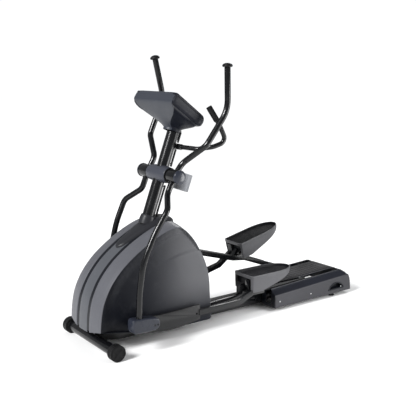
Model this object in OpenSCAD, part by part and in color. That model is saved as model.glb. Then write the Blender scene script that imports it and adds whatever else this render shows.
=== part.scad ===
// Front-drive elliptical trainer.
// X runs from the front cross bar to the rear track housing, Y across, Z up from the floor.
// Lengths are in millimetres. The user's left side is -Y.

/* [Overall] */
// Distance from the front cross bar's axis to the origin
x_mid = 1000; // [980:5:1020]
// Outer face of a transport wheel from the centre plane
wheel_face_y = 322; // [310:1:340]

/* [Mast and hub] */
// Outer radius of the mast tube
mast_r = 38.5; // [34:0.5:42]
// Lean of the mast from the vertical, toward the rear, in degrees
mast_lean = 20.6; // [18:0.1:23]
// Height of the handlebar hub axis
hub_z = 1024; // [1000:1:1050]
// Distance of the hub axis behind the front cross bar
hub_x = 511; // [500:1:520]
// Radius of the hub's pivot shaft
shaft_r = 12.5; // [11:0.5:14]

/* [Handlebars] */
// Outer radius of the handlebar tube
bar_r = 19; // [17:0.5:21]
// Distance of the straight grips and lower tubes from the centre plane
bar_y = 290; // [286:1:294]
// Forward turn of the right handlebar from the left one at rest, in degrees
swing_at_rest = 12.2; // [12:0.1:12.4]

/* [Drive] */
// Distance of the crank axis behind the front cross bar
crank_x = 449; // [445:1:455]
// Height of the crank axis
crank_z = 330; // [326:1:334]
// Crank throw, from axle to pin
crank_r = 223; // [218:1:226]
// Radius of the drive pulley
pulley_r = 140; // [120:1:142]
// Radius of the flywheel
flywheel_r = 105; // [95:1:108]

/* [Pedals and arms] */
// Length of the pedal plate
pedal_len = 414; // [400:1:420]
// Half the width of the pedal plate
pedal_half_w = 100; // [96:1:102]
// Distance of the pedal's middle from the centre plane
pedal_y = 145; // [143:1:147]
// Distance of the roller arm's middle from the centre plane
arm_y = 140; // [139:1:141]
// Radius of a track roller
roller_r = 25; // [24:0.5:26]

/* [Housings] */
// Half the width of the drive shroud
shroud_half_w = 190; // [186:1:192]
// Half the width of the rear track housing
housing_half_w = 215; // [212:1:220]
// Wall of the moulded covers
cover_wall = 4; // [3:0.5:5]

/* [Hidden] */
$fn = 64;
hub = [hub_x, 0, hub_z];
link_pivot = [170, 0, 175];
roller_axis = [1610, 0, 160];
right_roller_axis = [1730, 0, 160];
arm_pivot = [1100, 0, 200];
arm_turn = 19.06;
link_turn = 13.1;
crossbar_r = 33;
crossbar_z = 50;
wheel_r = 50;
stub_r = 10;
run_gap = 0.05;
spine_half_w = 70;
spine_wide = 82;
spine_step = 740;
spine_z0 = 36;
spine_z1 = 98;
spine_x1 = 1360;
boss_y = 165;
housing_x0 = 1305;
housing_x1 = 2065;
deck_pitch = 2.3;
slot_in = 112;
slot_out = 168;
slot_x1 = 2007;
link_y0 = 208;
link_y1 = 236;
flywheel_x = 80;
flywheel_z = 300;
belt_small_r = 24;
track_z = roller_axis[2] - roller_r;

// Moves a shape drawn from the front cross bar so that the origin is mid-length.
module place() {
    translate([-x_mid, 0, 0]) children();
}

// Mirrors a left-side shape to the right side.
module right_side() {
    mirror([0, 1, 0]) children();
}

// Turns a shape about an axis parallel to Y through p.
module turn_about(p, angle, to) {
    translate(to) rotate([0, angle, 0]) translate(-p) children();
}

module right_handle_pose() {
    turn_about(hub, -swing_at_rest, hub) right_side() children();
}

function turned(p, c, a) = [
    c[0] + (p[0] - c[0]) * cos(a) + (p[2] - c[2]) * sin(a),
    p[1],
    c[2] - (p[0] - c[0]) * sin(a) + (p[2] - c[2]) * cos(a)
];
right_link_pivot = turned(link_pivot, hub, -swing_at_rest);

module right_link_pose() {
    turn_about(link_pivot, -link_turn, right_link_pivot) right_side() children();
}

module right_arm_pose() {
    turn_about(roller_axis, arm_turn, right_roller_axis) right_side() children();
}

// Round bar along Y from y0 to y1 at (x, z).
module y_bar(x, z, y0, y1, r) {
    translate([x, y0, z]) rotate([-90, 0, 0]) cylinder(h = y1 - y0, r = r);
}

// Flat plate: a profile drawn in X and Z, standing from y0 to y1.
module y_plate(points, y0, y1) {
    translate([0, y1, 0]) rotate([90, 0, 0]) linear_extrude(height = y1 - y0) polygon(points);
}

function unit(v) = v / norm(v);

// Straight round bar from p to q.
module bar(p, q, r) {
    d = q - p;
    translate(p)
        rotate([0, acos(d[2] / norm(d)), atan2(d[1], d[0])])
            cylinder(h = norm(d), r = r);
}

function turn_angle(a, b, c) = acos(unit(b - a) * unit(c - b));
function setback(a, b, c, r) = r * tan(turn_angle(a, b, c) / 2);

// Points along one bend at corner b between a and c, with centreline radius rb.
function bend_points(a, b, c, rb) =
    let (
        u = unit(b - a), w = unit(c - b), n = unit(w - (w * u) * u),
        m = b - u * setback(a, b, c, rb) + n * rb,
        whole = turn_angle(a, b, c), steps = max(2, ceil(whole / 8))
    )
    [for (i = [0 : steps]) m + rb * (sin(whole * i / steps) * u - cos(whole * i / steps) * n)];

// Centreline through the corners pts, with one bend radius for each inner corner.
function centreline(pts, rb) = [
    pts[0],
    for (i = [1 : len(pts) - 2])
        each bend_points(pts[i - 1], pts[i], pts[i + 1], rb[i - 1]),
    pts[len(pts) - 1]
];

function tangent_at(c, i) =
    i == 0 ? unit(c[1] - c[0])
    : i == len(c) - 1 ? unit(c[i] - c[i - 1])
    : unit(unit(c[i + 1] - c[i]) + unit(c[i] - c[i - 1]));

function across(v, t) = unit(v - (v * t) * t);

// Bent tube along the corners pts, as a sweep with a steady frame.
module bent_tube(pts, rb, r) {
    sides = 20;
    c = centreline(pts, rb);
    count = len(c);
    frames = [
        for (i = 0, n = across([0.6, 0.7, 0.39], tangent_at(c, 0)); i < count;
            i = i + 1, n = i < count ? across(n, tangent_at(c, i)) : n) n
    ];
    rings = [
        for (i = [0 : count - 1]) for (k = [0 : sides - 1])
            let (t = tangent_at(c, i), n = frames[i], a = k * 360 / sides)
            c[i] + r * (cos(a) * n + sin(a) * cross(t, n))
    ];
    walls = [
        for (i = [0 : count - 2]) for (k = [0 : sides - 1])
            let (p = i * sides + k, q = i * sides + (k + 1) % sides)
            each [[p, p + sides, q], [q, p + sides, q + sides]]
    ];
    polyhedron(
        points = rings,
        faces = concat(
            walls,
            [[for (k = [0 : sides - 1]) k]],
            [[for (k = [sides - 1 : -1 : 0]) (count - 1) * sides + k]]
        )
    );
}

// Point on the mast's axis at height z.
function mast_at(z) = [hub_x + (z - hub_z) * tan(mast_lean), 0, z];

module mast_axis() {
    translate(hub) rotate([0, mast_lean, 0]) children();
}

// ---- frame ----

// Half-plan of the spine, mirrored: a neck behind the cross bar, a wide middle and a long tail.
function spine_plan(d) =
    let (
        half = [
            [12 + d, 45 - d], [84, 52 - d], [138, spine_wide - d], [spine_step - d, spine_wide - d],
            [spine_step - d, spine_half_w - d], [spine_x1 - d, spine_half_w - d]
        ],
        n = len(half)
    )
    concat(half, [for (i = [n - 1 : -1 : 0]) [half[i][0], -half[i][1]]]);

module main_spine() {
    color("#26282c") place() difference() {
        translate([0, 0, spine_z0]) linear_extrude(height = spine_z1 - spine_z0)
            polygon(spine_plan(0));
        translate([0, 0, spine_z0 + 3]) linear_extrude(height = spine_z1 - spine_z0 - 6)
            polygon(spine_plan(3));
        y_bar(0, crossbar_z, -60, 60, crossbar_r + 0.2);
    }
}

module front_crossbar() {
    end_y = 262;
    color("#1d1e21") place() difference() {
        union() {
            y_bar(0, crossbar_z, -end_y, end_y, crossbar_r);
            y_bar(0, crossbar_z, -300, 300, stub_r);
        }
        y_bar(0, crossbar_z, -end_y + 6, end_y - 6, crossbar_r - 3);
    }
}

module transport_wheel() {
    rib_n = 24;
    y_in = 268;
    difference() {
        union() {
            y_bar(0, crossbar_z, -wheel_face_y + 4, -y_in, wheel_r - 1.5);
            y_bar(0, crossbar_z, -wheel_face_y, -wheel_face_y + 8, wheel_r - 6);
            y_bar(0, crossbar_z, -wheel_face_y + 7, -wheel_face_y + 14, wheel_r);
            y_bar(0, crossbar_z, -y_in - 12, -y_in - 2, wheel_r);
            for (i = [0 : rib_n - 1])
                translate([0, -y_in - 38, crossbar_z])
                    rotate([0, i * 360 / rib_n, 0])
                        translate([wheel_r - 4, 0, -3])
                            cube([3.8, 32, 6]);
        }
        y_bar(0, crossbar_z, -301, -y_in + 1, stub_r + run_gap);
        difference() {
            y_bar(0, crossbar_z, -wheel_face_y - 1, -wheel_face_y + 3, wheel_r - 12);
            y_bar(0, crossbar_z, -wheel_face_y - 2, -wheel_face_y + 4, 12);
            for (i = [0 : 3])
                translate([0, -wheel_face_y, crossbar_z])
                    rotate([0, 45 + i * 90, 0])
                        translate([0, -3, -4])
                            cube([wheel_r, 8, 8]);
        }
    }
}

module left_transport_wheel() {
    color("#17181a") place() transport_wheel();
}

module right_transport_wheel() {
    color("#17181a") place() right_side() transport_wheel();
}

module mast() {
    foot = -985;
    top = 312;
    color("#202226") place() difference() {
        mast_axis() translate([0, 0, foot]) cylinder(h = top - foot, r = mast_r);
        mast_axis() translate([0, 0, foot - 1]) cylinder(h = top - foot - 5, r = mast_r - 2.5);
        translate([-400, -100, -200]) cube([900, 200, 200 + spine_z1]);
        y_bar(hub_x, hub_z, -60, 60, shaft_r);
    }
}

module mast_cable_tube() {
    off = 58;
    color("#3a3c40") place() mast_axis() {
        translate([off, 0, 62]) cylinder(h = 112, r = 7);
        translate([off, 0, 220]) cylinder(h = 67, r = 7);
        translate([off, 0, -290]) cylinder(h = 228, r = 7);
        for (z = [75, 270, -75, -275])
            translate([mast_r + 0.1, -5, z]) cube([off - mast_r, 10, 8]);
    }
}

module pivot_shaft() {
    color("#8a8d91") place() y_bar(hub_x, hub_z, -202, 202, shaft_r);
}

// Barrel cover with a waist-free bulge, open where the mast passes through it.
module hub_cover() {
    half = 104;
    color("#5b616b") place() difference() {
        translate([hub_x, 0, hub_z]) rotate([-90, 0, 0]) rotate_extrude()
            polygon([
                for (i = [0 : 12]) [54 - 7 * pow(abs(i - 6) / 6, 2.4), -half + i * half / 6],
                [shaft_r + 0.3, half], [shaft_r + 0.3, half - 3],
                for (i = [12 : -1 : 0]) [50.5 - 6 * pow(abs(i - 6) / 6, 2.4), (-half + i * half / 6) * 0.97],
                [shaft_r + 0.3, -half + 3], [shaft_r + 0.3, -half]
            ]);
        mast_axis() translate([0, 0, -120]) cylinder(h = 240, r = mast_r + 0.5);
        mast_axis() translate([mast_r - 4, -12, -120]) cube([40, 24, 50 + 30]);
        mast_axis() translate([mast_r - 4, -12, 40]) cube([40, 24, 80]);
    }
}

// ---- shroud ----

shroud_profile = [
    [-62, 62], [-65, 120], [-62, 190], [-55, 250], [-42, 310], [-22, 362], [10, 422],
    [55, 482], [110, 538], [180, 592], [255, 640], [340, 684], [420, 716], [480, 730],
    [525, 730], [565, 712], [610, 672], [655, 618], [700, 545], [735, 475], [760, 400],
    [773, 320], [776, 240], [783, 130], [785, 62]
];

// Profile drawn smaller by d all round, about its own middle.
function shrunk(pts, d) = [
    for (p = pts) let (v = [p[0] - 370, p[1] - 330]) p - v * (d / max(norm(v), 1))
];

// Slope and sweep of the mouldings' lower edge, in degrees.
lower_pitch = 10.37;
lower_sweep = 13.2;

module shroud_solid(inset, y_lo, y_hi) {
    hull() {
        y_plate(shrunk(shroud_profile, inset), y_lo, y_lo + 1);
        y_plate(shrunk(shroud_profile, 22 + inset), y_hi - 1, y_hi);
    }
}

module shroud_half() {
    seam_y = 62;
    difference() {
        shroud_solid(0, seam_y, shroud_half_w);
        difference() {
            shroud_solid(cover_wall, seam_y - 2, shroud_half_w - cover_wall);
            translate([-100, seam_y - 3, 61]) cube([0.1, 0.1, 0.1]);
        }
        translate([-120, seam_y - 1, 0]) cube([1000, 200, 66]);
        translate([-57, 60, 119]) rotate([0, lower_pitch, 0]) rotate([lower_sweep, 0, 0])
            translate([-200, -200, -400]) cube([1400, 600, 400]);
        translate([640, 108, 60]) cube([200, 66, 520]);
        translate([0, 0, spine_z0]) linear_extrude(height = spine_z1 - spine_z0 + 1.5) polygon(spine_plan(-1.5));
        y_bar(0, crossbar_z, 0, 320, crossbar_r + 1);
    }
}

module shroud_left() {
    color("#4a4f58") place() right_side() shroud_half();
}

module shroud_right() {
    color("#4a4f58") place() shroud_half();
}

module shroud_centre_strip() {
    half = 57;
    color("#565c66") place() difference() {
        y_plate(shroud_profile, -half, half);
        y_plate(shrunk(shroud_profile, cover_wall), -half - 1, half + 1);
        translate([-120, -half - 1, 0]) cube([1000, 2 * half + 2, 66]);
        translate([-57, 0, 119]) rotate([0, lower_pitch, 0])
            translate([-200, -200, -400]) cube([600, 400, 400]);
        translate([700, -half - 1, 60]) cube([120, 2 * half + 2, 39.5]);
        mast_axis() translate([0, 0, -600]) cylinder(h = 500, r = mast_r + 1.5);
        y_bar(0, crossbar_z, -100, 100, crossbar_r + 1);
    }
}

// Cap over the top of the shroud with a collar around the mast.
module mast_boot() {
    color("#4e545e") place() difference() {
        union() {
            hull() {
                translate([205, 0, 622]) rotate([0, -28, 0]) cylinder(h = 22, r = 52, $fn = 32);
                translate([430, 0, 722]) rotate([0, -10, 0]) cylinder(h = 34, r = 84, $fn = 32);
                translate([520, 0, 728]) cylinder(h = 30, r = 60, $fn = 32);
            }
            mast_axis() translate([0, 0, -325]) cylinder(h = 92, r = mast_r + 9);
        }
        y_plate(shrunk(shroud_profile, -1), -190, 190);
        mast_axis() translate([0, 0, -600]) cylinder(h = 500, r = mast_r + 0.5);
        mast_axis() translate([mast_r - 4, -12, -300]) cube([40, 24, 120]);
    }
}

// ---- console ----

console_w = 227;
module console_frame() {
    translate([485, 0, 1533]) rotate([0, 34.7, 0]) children();
}

module console_shell() {
    neck = [597, 0, 1300];
    color("#4b505a") place() difference() {
        union() {
            hull() console_frame() for (y = [-1, 1]) {
                translate([22, y * (console_w - 22), -44]) cylinder(h = 34, r = 22, $fn = 32);
                translate([282, y * (console_w - 60), -44]) cylinder(h = 34, r = 24, $fn = 32);
            }
            hull() {
                console_frame() for (y = [-1, 1]) {
                    translate([60, y * (console_w - 50), -52]) cylinder(h = 12, r = 24, $fn = 32);
                    translate([270, y * 120, -60]) cylinder(h = 12, r = 24, $fn = 32);
                }
                translate(neck) rotate([0, mast_lean, 0]) translate([0, 0, -10])
                    cylinder(h = 30, r = mast_r + 16, $fn = 32);
            }
        }
        hull() console_frame() for (y = [-1, 1]) {
            translate([24, y * (console_w - 26), -40]) cylinder(h = 42, r = 20, $fn = 32);
            translate([278, y * (console_w - 64), -40]) cylinder(h = 42, r = 20, $fn = 32);
        }
        mast_axis() translate([0, 0, -100]) cylinder(h = 413, r = mast_r + 0.3);
        mast_axis() translate([mast_r - 4, -12, 100]) cube([40, 24, 190]);
    }
}

module console_bezel() {
    color("#3c4048") place() difference() {
        hull() console_frame() for (y = [-1, 1]) {
            translate([22, y * (console_w - 22), -9.5]) cylinder(h = 14, r = 22, $fn = 32);
            translate([282, y * (console_w - 60), -9.5]) cylinder(h = 14, r = 24, $fn = 32);
        }
        console_frame() translate([40, -120, -4]) cube([120, 240, 20]);
        console_frame() translate([176, -150, 1]) cube([84, 300, 20]);
    }
}

module console_display() {
    color("#101418") place() console_frame() difference() {
        translate([40.3, -119.7, -3.8]) cube([119.4, 239.4, 6]);
        translate([46, -114, 1.2]) cube([108, 228, 3]);
    }
}

module console_keypad() {
    key = 26;
    color("#2b2f36") place() console_frame() {
        translate([176.3, -149.7, 1.2]) cube([83.4, 299.4, 2]);
        for (i = [-3 : 3])
            translate([190, i * 38 - key / 2, 3]) cube([22, key, 1.6]);
        for (i = [-2 : 2])
            translate([226, i * 46 - key / 2, 3]) cube([22, key, 1.6]);
    }
}

// ---- fixed handles and bottle holder ----

handle_path = [
    [640, -30, 1186], [690, -150, 1180], [755, -225, 1196], [838, -250, 1226],
    [792, -240, 1330], [738, -205, 1438]
];
handle_tube_r = 15;

module fixed_handle() {
    bends = [70, 60, 40, 120];
    color("#1b1c1f") place() {
        bent_tube(handle_path, bends, handle_tube_r);
        right_side() bent_tube(handle_path, bends, handle_tube_r);
        y_bar(640, 1186, -45, 45, handle_tube_r + 4);
        difference() {
            translate([585, -22, 1166]) cube([52, 44, 40]);
            mast_axis() translate([0, 0, 0]) cylinder(h = 300, r = mast_r + 0.2);
            mast_axis() translate([mast_r + 11, -9, 0]) cube([18, 18, 300]);
        }
    }
}

module fixed_grip() {
    tip = handle_path[5];
    d = unit(handle_path[5] - handle_path[4]);
    difference() {
        bar(tip - d * 95, tip + d * 6, handle_tube_r + 4);
        bar(tip - d * 97, tip + d * 0.2, handle_tube_r + 0.1);
    }
}

module left_fixed_grip() {
    color("#101112") place() fixed_grip();
}

module right_fixed_grip() {
    color("#101112") place() right_side() fixed_grip();
}

// Cup-shaped sheet cradle behind the hub, with a floor.
module bottle_holder() {
    cup_r = 52;
    cup_x = 180;
    color("#8d9299") place() mast_axis() difference() {
        union() {
            translate([cup_x, 0, -62]) cylinder(h = 112, r = cup_r);
            translate([50, -14, -26]) cube([cup_x - 50 - cup_r + 2, 28, 52]);
        }
        translate([cup_x, 0, -58]) cylinder(h = 120, r = cup_r - 3);
        rotate([-90, 0, 0]) cylinder(h = 80, r = 54.5, center = true);
    }
}

// ---- handlebars ----

module handlebar() {
    upper = [[hub_x, -150, hub_z], [578, -146, 1101], [659, -bar_y + 6, 1216],
        [817, -bar_y, 1424], [813, -bar_y, 1682]];
    lower = [[hub_x, -150, hub_z], [450, -166, 920], [372, -bar_y + 4, 852],
        [281, -bar_y, 727], [195, -bar_y, 559], [166, -bar_y, 381], [158, -bar_y, 215]];
    difference() {
        union() {
            bent_tube(upper, [70, 60, 190], bar_r);
            bent_tube(lower, [60, 60, 600, 450, 800], bar_r);
            y_bar(hub_x, hub_z, -205, -109, 42);
            y_plate([[136, 226], [184, 226], [196, 190], [196, 160], [150, 152], [136, 170]],
                -bar_y - 14, -bar_y + 22);
            y_bar(link_pivot[0], link_pivot[2], -bar_y - 14, -bar_y + 30, 22);
        }
        y_bar(hub_x, hub_z, -206, -100, shaft_r + run_gap);
        y_bar(link_pivot[0], link_pivot[2], -bar_y - 10, -bar_y + 40, 10 + run_gap);
    }
}

module left_handlebar() {
    color("#1a1b1e") place() handlebar();
}

module right_handlebar() {
    color("#1a1b1e") place() right_handle_pose() handlebar();
}

module hub_cap() {
    translate([hub_x, -205.1, hub_z]) rotate([90, 0, 0]) rotate_extrude()
        polygon([
            [0, 0], [44, 0], [44.5, 3], [43.5, 8],
            for (i = [1 : 8]) [43.5 * cos(i * 11.25), 8 + 14 * sin(i * 11.25)]
        ]);
}

module left_hub_cap() {
    color("#3a3d42") place() hub_cap();
}

module right_hub_cap() {
    color("#3a3d42") place() right_handle_pose() hub_cap();
}

module grip_cap() {
    translate([813, -bar_y, 1682.5]) rotate_extrude()
        polygon([
            [0, 0], [27, 0], [31, 3], [32, 8],
            for (i = [1 : 8]) [32 * cos(i * 11.25), 8 + 18 * sin(i * 11.25)]
        ]);
}

module left_grip_cap() {
    color("#0e0f10") place() grip_cap();
}

module right_grip_cap() {
    color("#0e0f10") place() right_handle_pose() grip_cap();
}

// Moulded cover over the lower bracket, open below and at the inner side.
module bracket_cover() {
    outer = [[102, 228], [101, 166], [112, 142], [240, 138], [280, 150], [290, 180], [282, 210], [190, 226]];
    inner = [[106, 240], [105, 167], [115, 124], [239, 124], [277, 153], [286, 180], [279, 206], [190, 222]];
    difference() {
        y_plate(outer, -bar_y - 31, -bar_y + 31);
        y_plate(inner, -bar_y - 27, -bar_y + 40);
        bar([158, -bar_y, 260], [155, -bar_y, 190], bar_r + 1.5);
        y_plate([[132, 250], [188, 250], [201, 190], [201, 150], [132, 150]], -bar_y - 15, -bar_y + 23);
    }
}

module left_bracket_cover() {
    color("#33363b") place() bracket_cover();
}

module right_bracket_cover() {
    color("#33363b") place() right_handle_pose() bracket_cover();
}

// ---- links and pedals ----

// Headed pin that joins a handlebar's lower boss to the link.
module link_pin() {
    y_bar(link_pivot[0], link_pivot[2], -bar_y - 9, -link_y0 - 1, 10);
    y_bar(link_pivot[0], link_pivot[2], -link_y1 - 4, -link_y1 - 0.4, 15);
}

module left_link_pin() {
    color("#9a9da1") place() link_pin();
}

module right_link_pin() {
    color("#9a9da1") place() right_handle_pose() link_pin();
}

link_plate = [
    [138, 205], [128, 175], [138, 142], [200, 112], [290, 90], [390, 78], [490, 78], [600, 92],
    [648, 100], [648, 196], [520, 193], [340, 190], [200, 208]
];

module link() {
    difference() {
        union() {
            y_plate(link_plate, -link_y1 + 6, -link_y0 - 6);
            y_plate([[640, 126], [972, 126], [1088, 174], [1185, 174], [1185, 210],
                [1078, 210], [966, 164], [640, 164]], -link_y1, -link_y0);
            y_bar(link_pivot[0], link_pivot[2], -link_y1, -link_y0, 24);
            y_plate([[1070, 200], [1085, 178], [1135, 178], [1150, 200], [1150, 276], [1070, 276]],
                -link_y0, -boss_y - 3);
            y_bar(arm_pivot[0], arm_pivot[2], -link_y0, -boss_y + 3, 14);
        }
        y_bar(link_pivot[0], link_pivot[2], -link_y1 - 1, -link_y0 + 1, 10 + run_gap);
        y_bar(622, 140, -link_y1 - 1, -link_y0 + 1, 6);
    }
}

module left_link() {
    color("#2b2d31") place() link();
}

module right_link() {
    color("#2b2d31") place() right_link_pose() link();
}

pedal_x0 = 1068;
pedal_top = 305;

// Plan of the pedal, inset by d: straight sides, small front corners and an elliptical heel.
function pedal_plan(d) =
    let (w = pedal_half_w - d, x0 = pedal_x0 + d, xs = pedal_x0 + 215, a = pedal_len - 215 - d)
    concat(
        [[x0 + 18, -pedal_y - w], [x0 + 5, -pedal_y - w + 7], [x0, -pedal_y - w + 24],
            [x0, -pedal_y + w - 24], [x0 + 5, -pedal_y + w - 7], [x0 + 18, -pedal_y + w]],
        [for (i = [0 : 24]) [xs + a * pow(sin(i * 7.5), 0.9), -pedal_y + w * cos(i * 7.5)]]
    );

module pedal_prism(d, z0, z1) {
    translate([0, 0, z0]) linear_extrude(height = z1 - z0) polygon(pedal_plan(d));
}

module pedal() {
    skirt = [[1060, 340], [1060, 205], [1085, 190], [1160, 190], [1475, 274], [1500, 292], [1500, 340]];
    difference() {
        intersection() {
            pedal_prism(0, 180, pedal_top);
            y_plate(skirt, -260, -30);
        }
        pedal_prism(8, pedal_top - 22, pedal_top + 5);
        pedal_prism(5, 170, pedal_top - 28);
        translate([1050, -pedal_y - pedal_half_w + 5, 170])
            cube([40, 2 * pedal_half_w - 10, pedal_top - 28 - 170]);
    }
}

module left_pedal() {
    color("#4a4d52") place() pedal();
}

module right_pedal() {
    color("#4a4d52") place() right_link_pose() pedal();
}

// Ribbed tread that lies in the pedal's tray.
module pedal_mat() {
    z0 = pedal_top - 21.9;
    pedal_prism(9, z0, z0 + 4);
    intersection() {
        pedal_prism(14, z0 + 3, z0 + 7);
        for (i = [0 : 13])
            translate([pedal_x0, -pedal_y - 84 + i * 12.4, z0 + 3]) cube([pedal_len, 6.5, 4]);
    }
}

module left_pedal_mat() {
    color("#2c2e31") place() pedal_mat();
}

module right_pedal_mat() {
    color("#2c2e31") place() right_link_pose() pedal_mat();
}

// ---- roller arms ----

module roller_arm() {
    pin_x = 360.5;
    pin_z = 125;
    arm_top = [[372, 147], [1045, 172], [1150, 194], [1340, 188], [1345, 184], [1642, 180]];
    arm_low = [[1642, 146], [1345, 148], [1340, 150], [1156, 156], [1050, 134], [376, 104]];
    difference() {
        union() {
            y_plate(concat(arm_top, arm_low), -arm_y - 20, -arm_y + 20);
            y_bar(pin_x, pin_z, -arm_y - 20, -arm_y + 20, 26);
            y_plate([[1050, 165], [1062, 222], [1085, 232], [1115, 232], [1138, 222], [1150, 185]],
                -arm_y - 20, -arm_y + 14);
        }
        translate([1352, -arm_y - 15, 120]) cube([300, 30, 80]);
        y_bar(pin_x, pin_z, -arm_y - 21, -arm_y + 21, 10);
        y_bar(roller_axis[0], roller_axis[2], -arm_y - 21, -arm_y + 21, 8);
        y_bar(arm_pivot[0], arm_pivot[2], -arm_y - 21, -arm_y + 21, 10);
    }
}

module left_roller_arm() {
    color("#1f2124") place() roller_arm();
}

module right_roller_arm() {
    color("#1f2124") place() right_arm_pose() roller_arm();
}

module roller_axle() {
    y_bar(roller_axis[0], roller_axis[2], -arm_y - 22.5, -arm_y + 22.5, 7.95);
}

module left_roller_axle() {
    color("#a5a8ac") place() roller_axle();
}

module right_roller_axle() {
    color("#a5a8ac") place() translate(right_roller_axis - roller_axis) right_side() roller_axle();
}

module roller() {
    difference() {
        union() {
            y_bar(roller_axis[0], roller_axis[2], -arm_y - 11, -arm_y + 11, roller_r);
            y_bar(roller_axis[0], roller_axis[2], -arm_y - 13, -arm_y + 13, 13);
        }
        y_bar(roller_axis[0], roller_axis[2], -arm_y - 14, -arm_y + 14, 8);
    }
}

module left_roller() {
    color("#3c3e40") place() roller();
}

module right_roller() {
    color("#3c3e40") place() translate(right_roller_axis - roller_axis) right_side() roller();
}

// ---- drive ----

near_pin = [360.5 - crank_x, 125 - crank_z];

// Crank arm on one side, with its pin at offset v from the axle.
module crank_arm(v, y0, y1, pin_y) {
    a = atan2(v[1], v[0]);
    translate([crank_x, 0, crank_z]) rotate([0, -a, 0]) {
        y_bar(0, 0, y0, y1, 26);
        y_bar(crank_r, 0, y0, y1, 20);
        translate([0, y0, -15]) cube([crank_r, y1 - y0, 30]);
        y_bar(crank_r, 0, min(y0, pin_y), max(y1, pin_y), 10);
    }
}

module crank_set() {
    color("#5c5f63") place() {
        y_bar(crank_x, crank_z, -100, 100, shaft_r);
        crank_arm(near_pin, -100, -84, -118);
        crank_arm(-near_pin, 84, 100, 118);
    }
}

module drive_pulley() {
    color("#2e3034") place() difference() {
        union() {
            y_bar(crank_x, crank_z, -66, -48, pulley_r);
            y_bar(crank_x, crank_z, -72, -44, 30);
        }
        y_bar(crank_x, crank_z, -73, -43, shaft_r);
        for (i = [0 : 5])
            translate([crank_x, 0, crank_z]) rotate([0, i * 60, 0])
                y_bar(84, 0, -67, -47, 28);
    }
}

module crank_support() {
    color("#26282c") place() difference() {
        union() {
            y_bar(crank_x, crank_z, -40, 40, 28);
            translate([crank_x - 26, -32, spine_z1 + 0.1]) cube([52, 64, crank_z - spine_z1]);
            translate([crank_x - 60, -60, spine_z1 + 0.1]) cube([120, 120, 8]);
        }
        y_bar(crank_x, crank_z, -41, 41, shaft_r + run_gap);
    }
}

// Outline of a belt at distance out from both pulleys, from the flywheel's small pulley to the drive pulley.
function belt_loop(out) =
    let (
        d = norm([crank_x - flywheel_x, crank_z - flywheel_z]),
        rp = pulley_r + out, rf = belt_small_r + out, s = asin((rp - rf) / d), n = 30
    )
    concat(
        [for (i = [0 : n]) let (a = 90 + s + (180 - 2 * s) * i / n) rf * [cos(a), sin(a)]],
        [for (i = [0 : n]) let (a = -90 - s + (180 + 2 * s) * i / n) [d, 0] + rp * [cos(a), sin(a)]]
    );

// Belt round the drive pulley and the flywheel's small pulley.
module drive_belt() {
    tilt = atan2(crank_z - flywheel_z, crank_x - flywheel_x);
    color("#111213") place() translate([flywheel_x, -49, flywheel_z]) rotate([90, 0, 0])
        rotate([0, 0, tilt]) linear_extrude(height = 16) difference() {
            polygon(belt_loop(3.5));
            polygon(belt_loop(0.8));
        }
}

module flywheel() {
    color("#55585c") place() difference() {
        union() {
            y_bar(flywheel_x, flywheel_z, 46, 76, flywheel_r);
            y_bar(flywheel_x, flywheel_z, -70, 84, 8);
            y_bar(flywheel_x, flywheel_z, -66, -48, belt_small_r);
        }
        difference() {
            y_bar(flywheel_x, flywheel_z, 45, 54, flywheel_r - 18);
            y_bar(flywheel_x, flywheel_z, 44, 55, 22);
        }
        difference() {
            y_bar(flywheel_x, flywheel_z, 68, 77, flywheel_r - 18);
            y_bar(flywheel_x, flywheel_z, 67, 78, 22);
        }
    }
}

module flywheel_support() {
    color("#26282c") place() difference() {
        union() {
            for (y = [-42, 32])
                translate([flywheel_x - 22, y, spine_z1 + 0.1])
                    cube([44, 10, flywheel_z - spine_z1]);
            y_bar(flywheel_x, flywheel_z, -42, 42, 22);
        }
        y_bar(flywheel_x, flywheel_z, -50, 50, 8 + run_gap);
        mast_axis() translate([0, 0, -985]) cylinder(h = 500, r = mast_r + 0.5);
    }
}

module brake_magnet() {
    color("#7a4a2a") place() difference() {
        translate([flywheel_x - 50, 40, spine_z1 + 92 - 80]) cube([100, 44, 62]);
        y_bar(flywheel_x, flywheel_z, 42, 80, flywheel_r + 2);
        translate([flywheel_x - 23, 20, spine_z1]) cube([46, 23, 90]);
    }
}

// ---- rear housing ----

side_profile = [
    [housing_x0, 28], [housing_x0, 163], [1975, 190], [2000, 184], [2022, 170], [2040, 148],
    [2053, 118], [2061, 80], [housing_x1, 28]
];
housing_section = [
    [-215, -200], [-215, 118], [-171, 150], [-164, 163], [-60, 166], [60, 166], [164, 163],
    [171, 150], [215, 118], [215, -200]
];

module housing_form(d) {
    intersection() {
        y_plate([
            [side_profile[0][0] + d, 28 - d], [side_profile[1][0] + d, 163 - d],
            [1975 - d / 2, 190 - d], [2000 - d / 2, 184 - d], [2022 - d, 170 - d],
            [2040 - d, 148 - d], [2053 - d, 118], [2061 - d, 80], [housing_x1 - d, 28 - d]
        ], -housing_half_w + d, housing_half_w - d);
        translate([housing_x0, 0, 0]) rotate([0, -deck_pitch, 0]) rotate([90, 0, 90])
            translate([0, 0, -40]) linear_extrude(height = 900)
                polygon([for (p = housing_section) [p[0] - sign(p[0]) * d, p[1] - d]]);
    }
}

// Half-round hand hold in the left side wall, for lifting the rear: circle r cut off below z_flat.
module hand_recess(r, z_flat, y0, y1) {
    right_side() intersection() {
        y_bar(1910, 16, y0, y1, r);
        translate([1810, y0, z_flat]) cube([200, y1 - y0, 100]);
    }
}

// Cup behind a hand hold.
module recess_cup() {
    difference() {
        hand_recess(91, 57, 172, housing_half_w - 2);
        hand_recess(88, 60, 175, housing_half_w);
    }
}

module track_housing() {
    color("#5a5f66") place() {
        housing_skin();
        recess_cup();
        right_side() recess_cup();
    }
}

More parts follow.
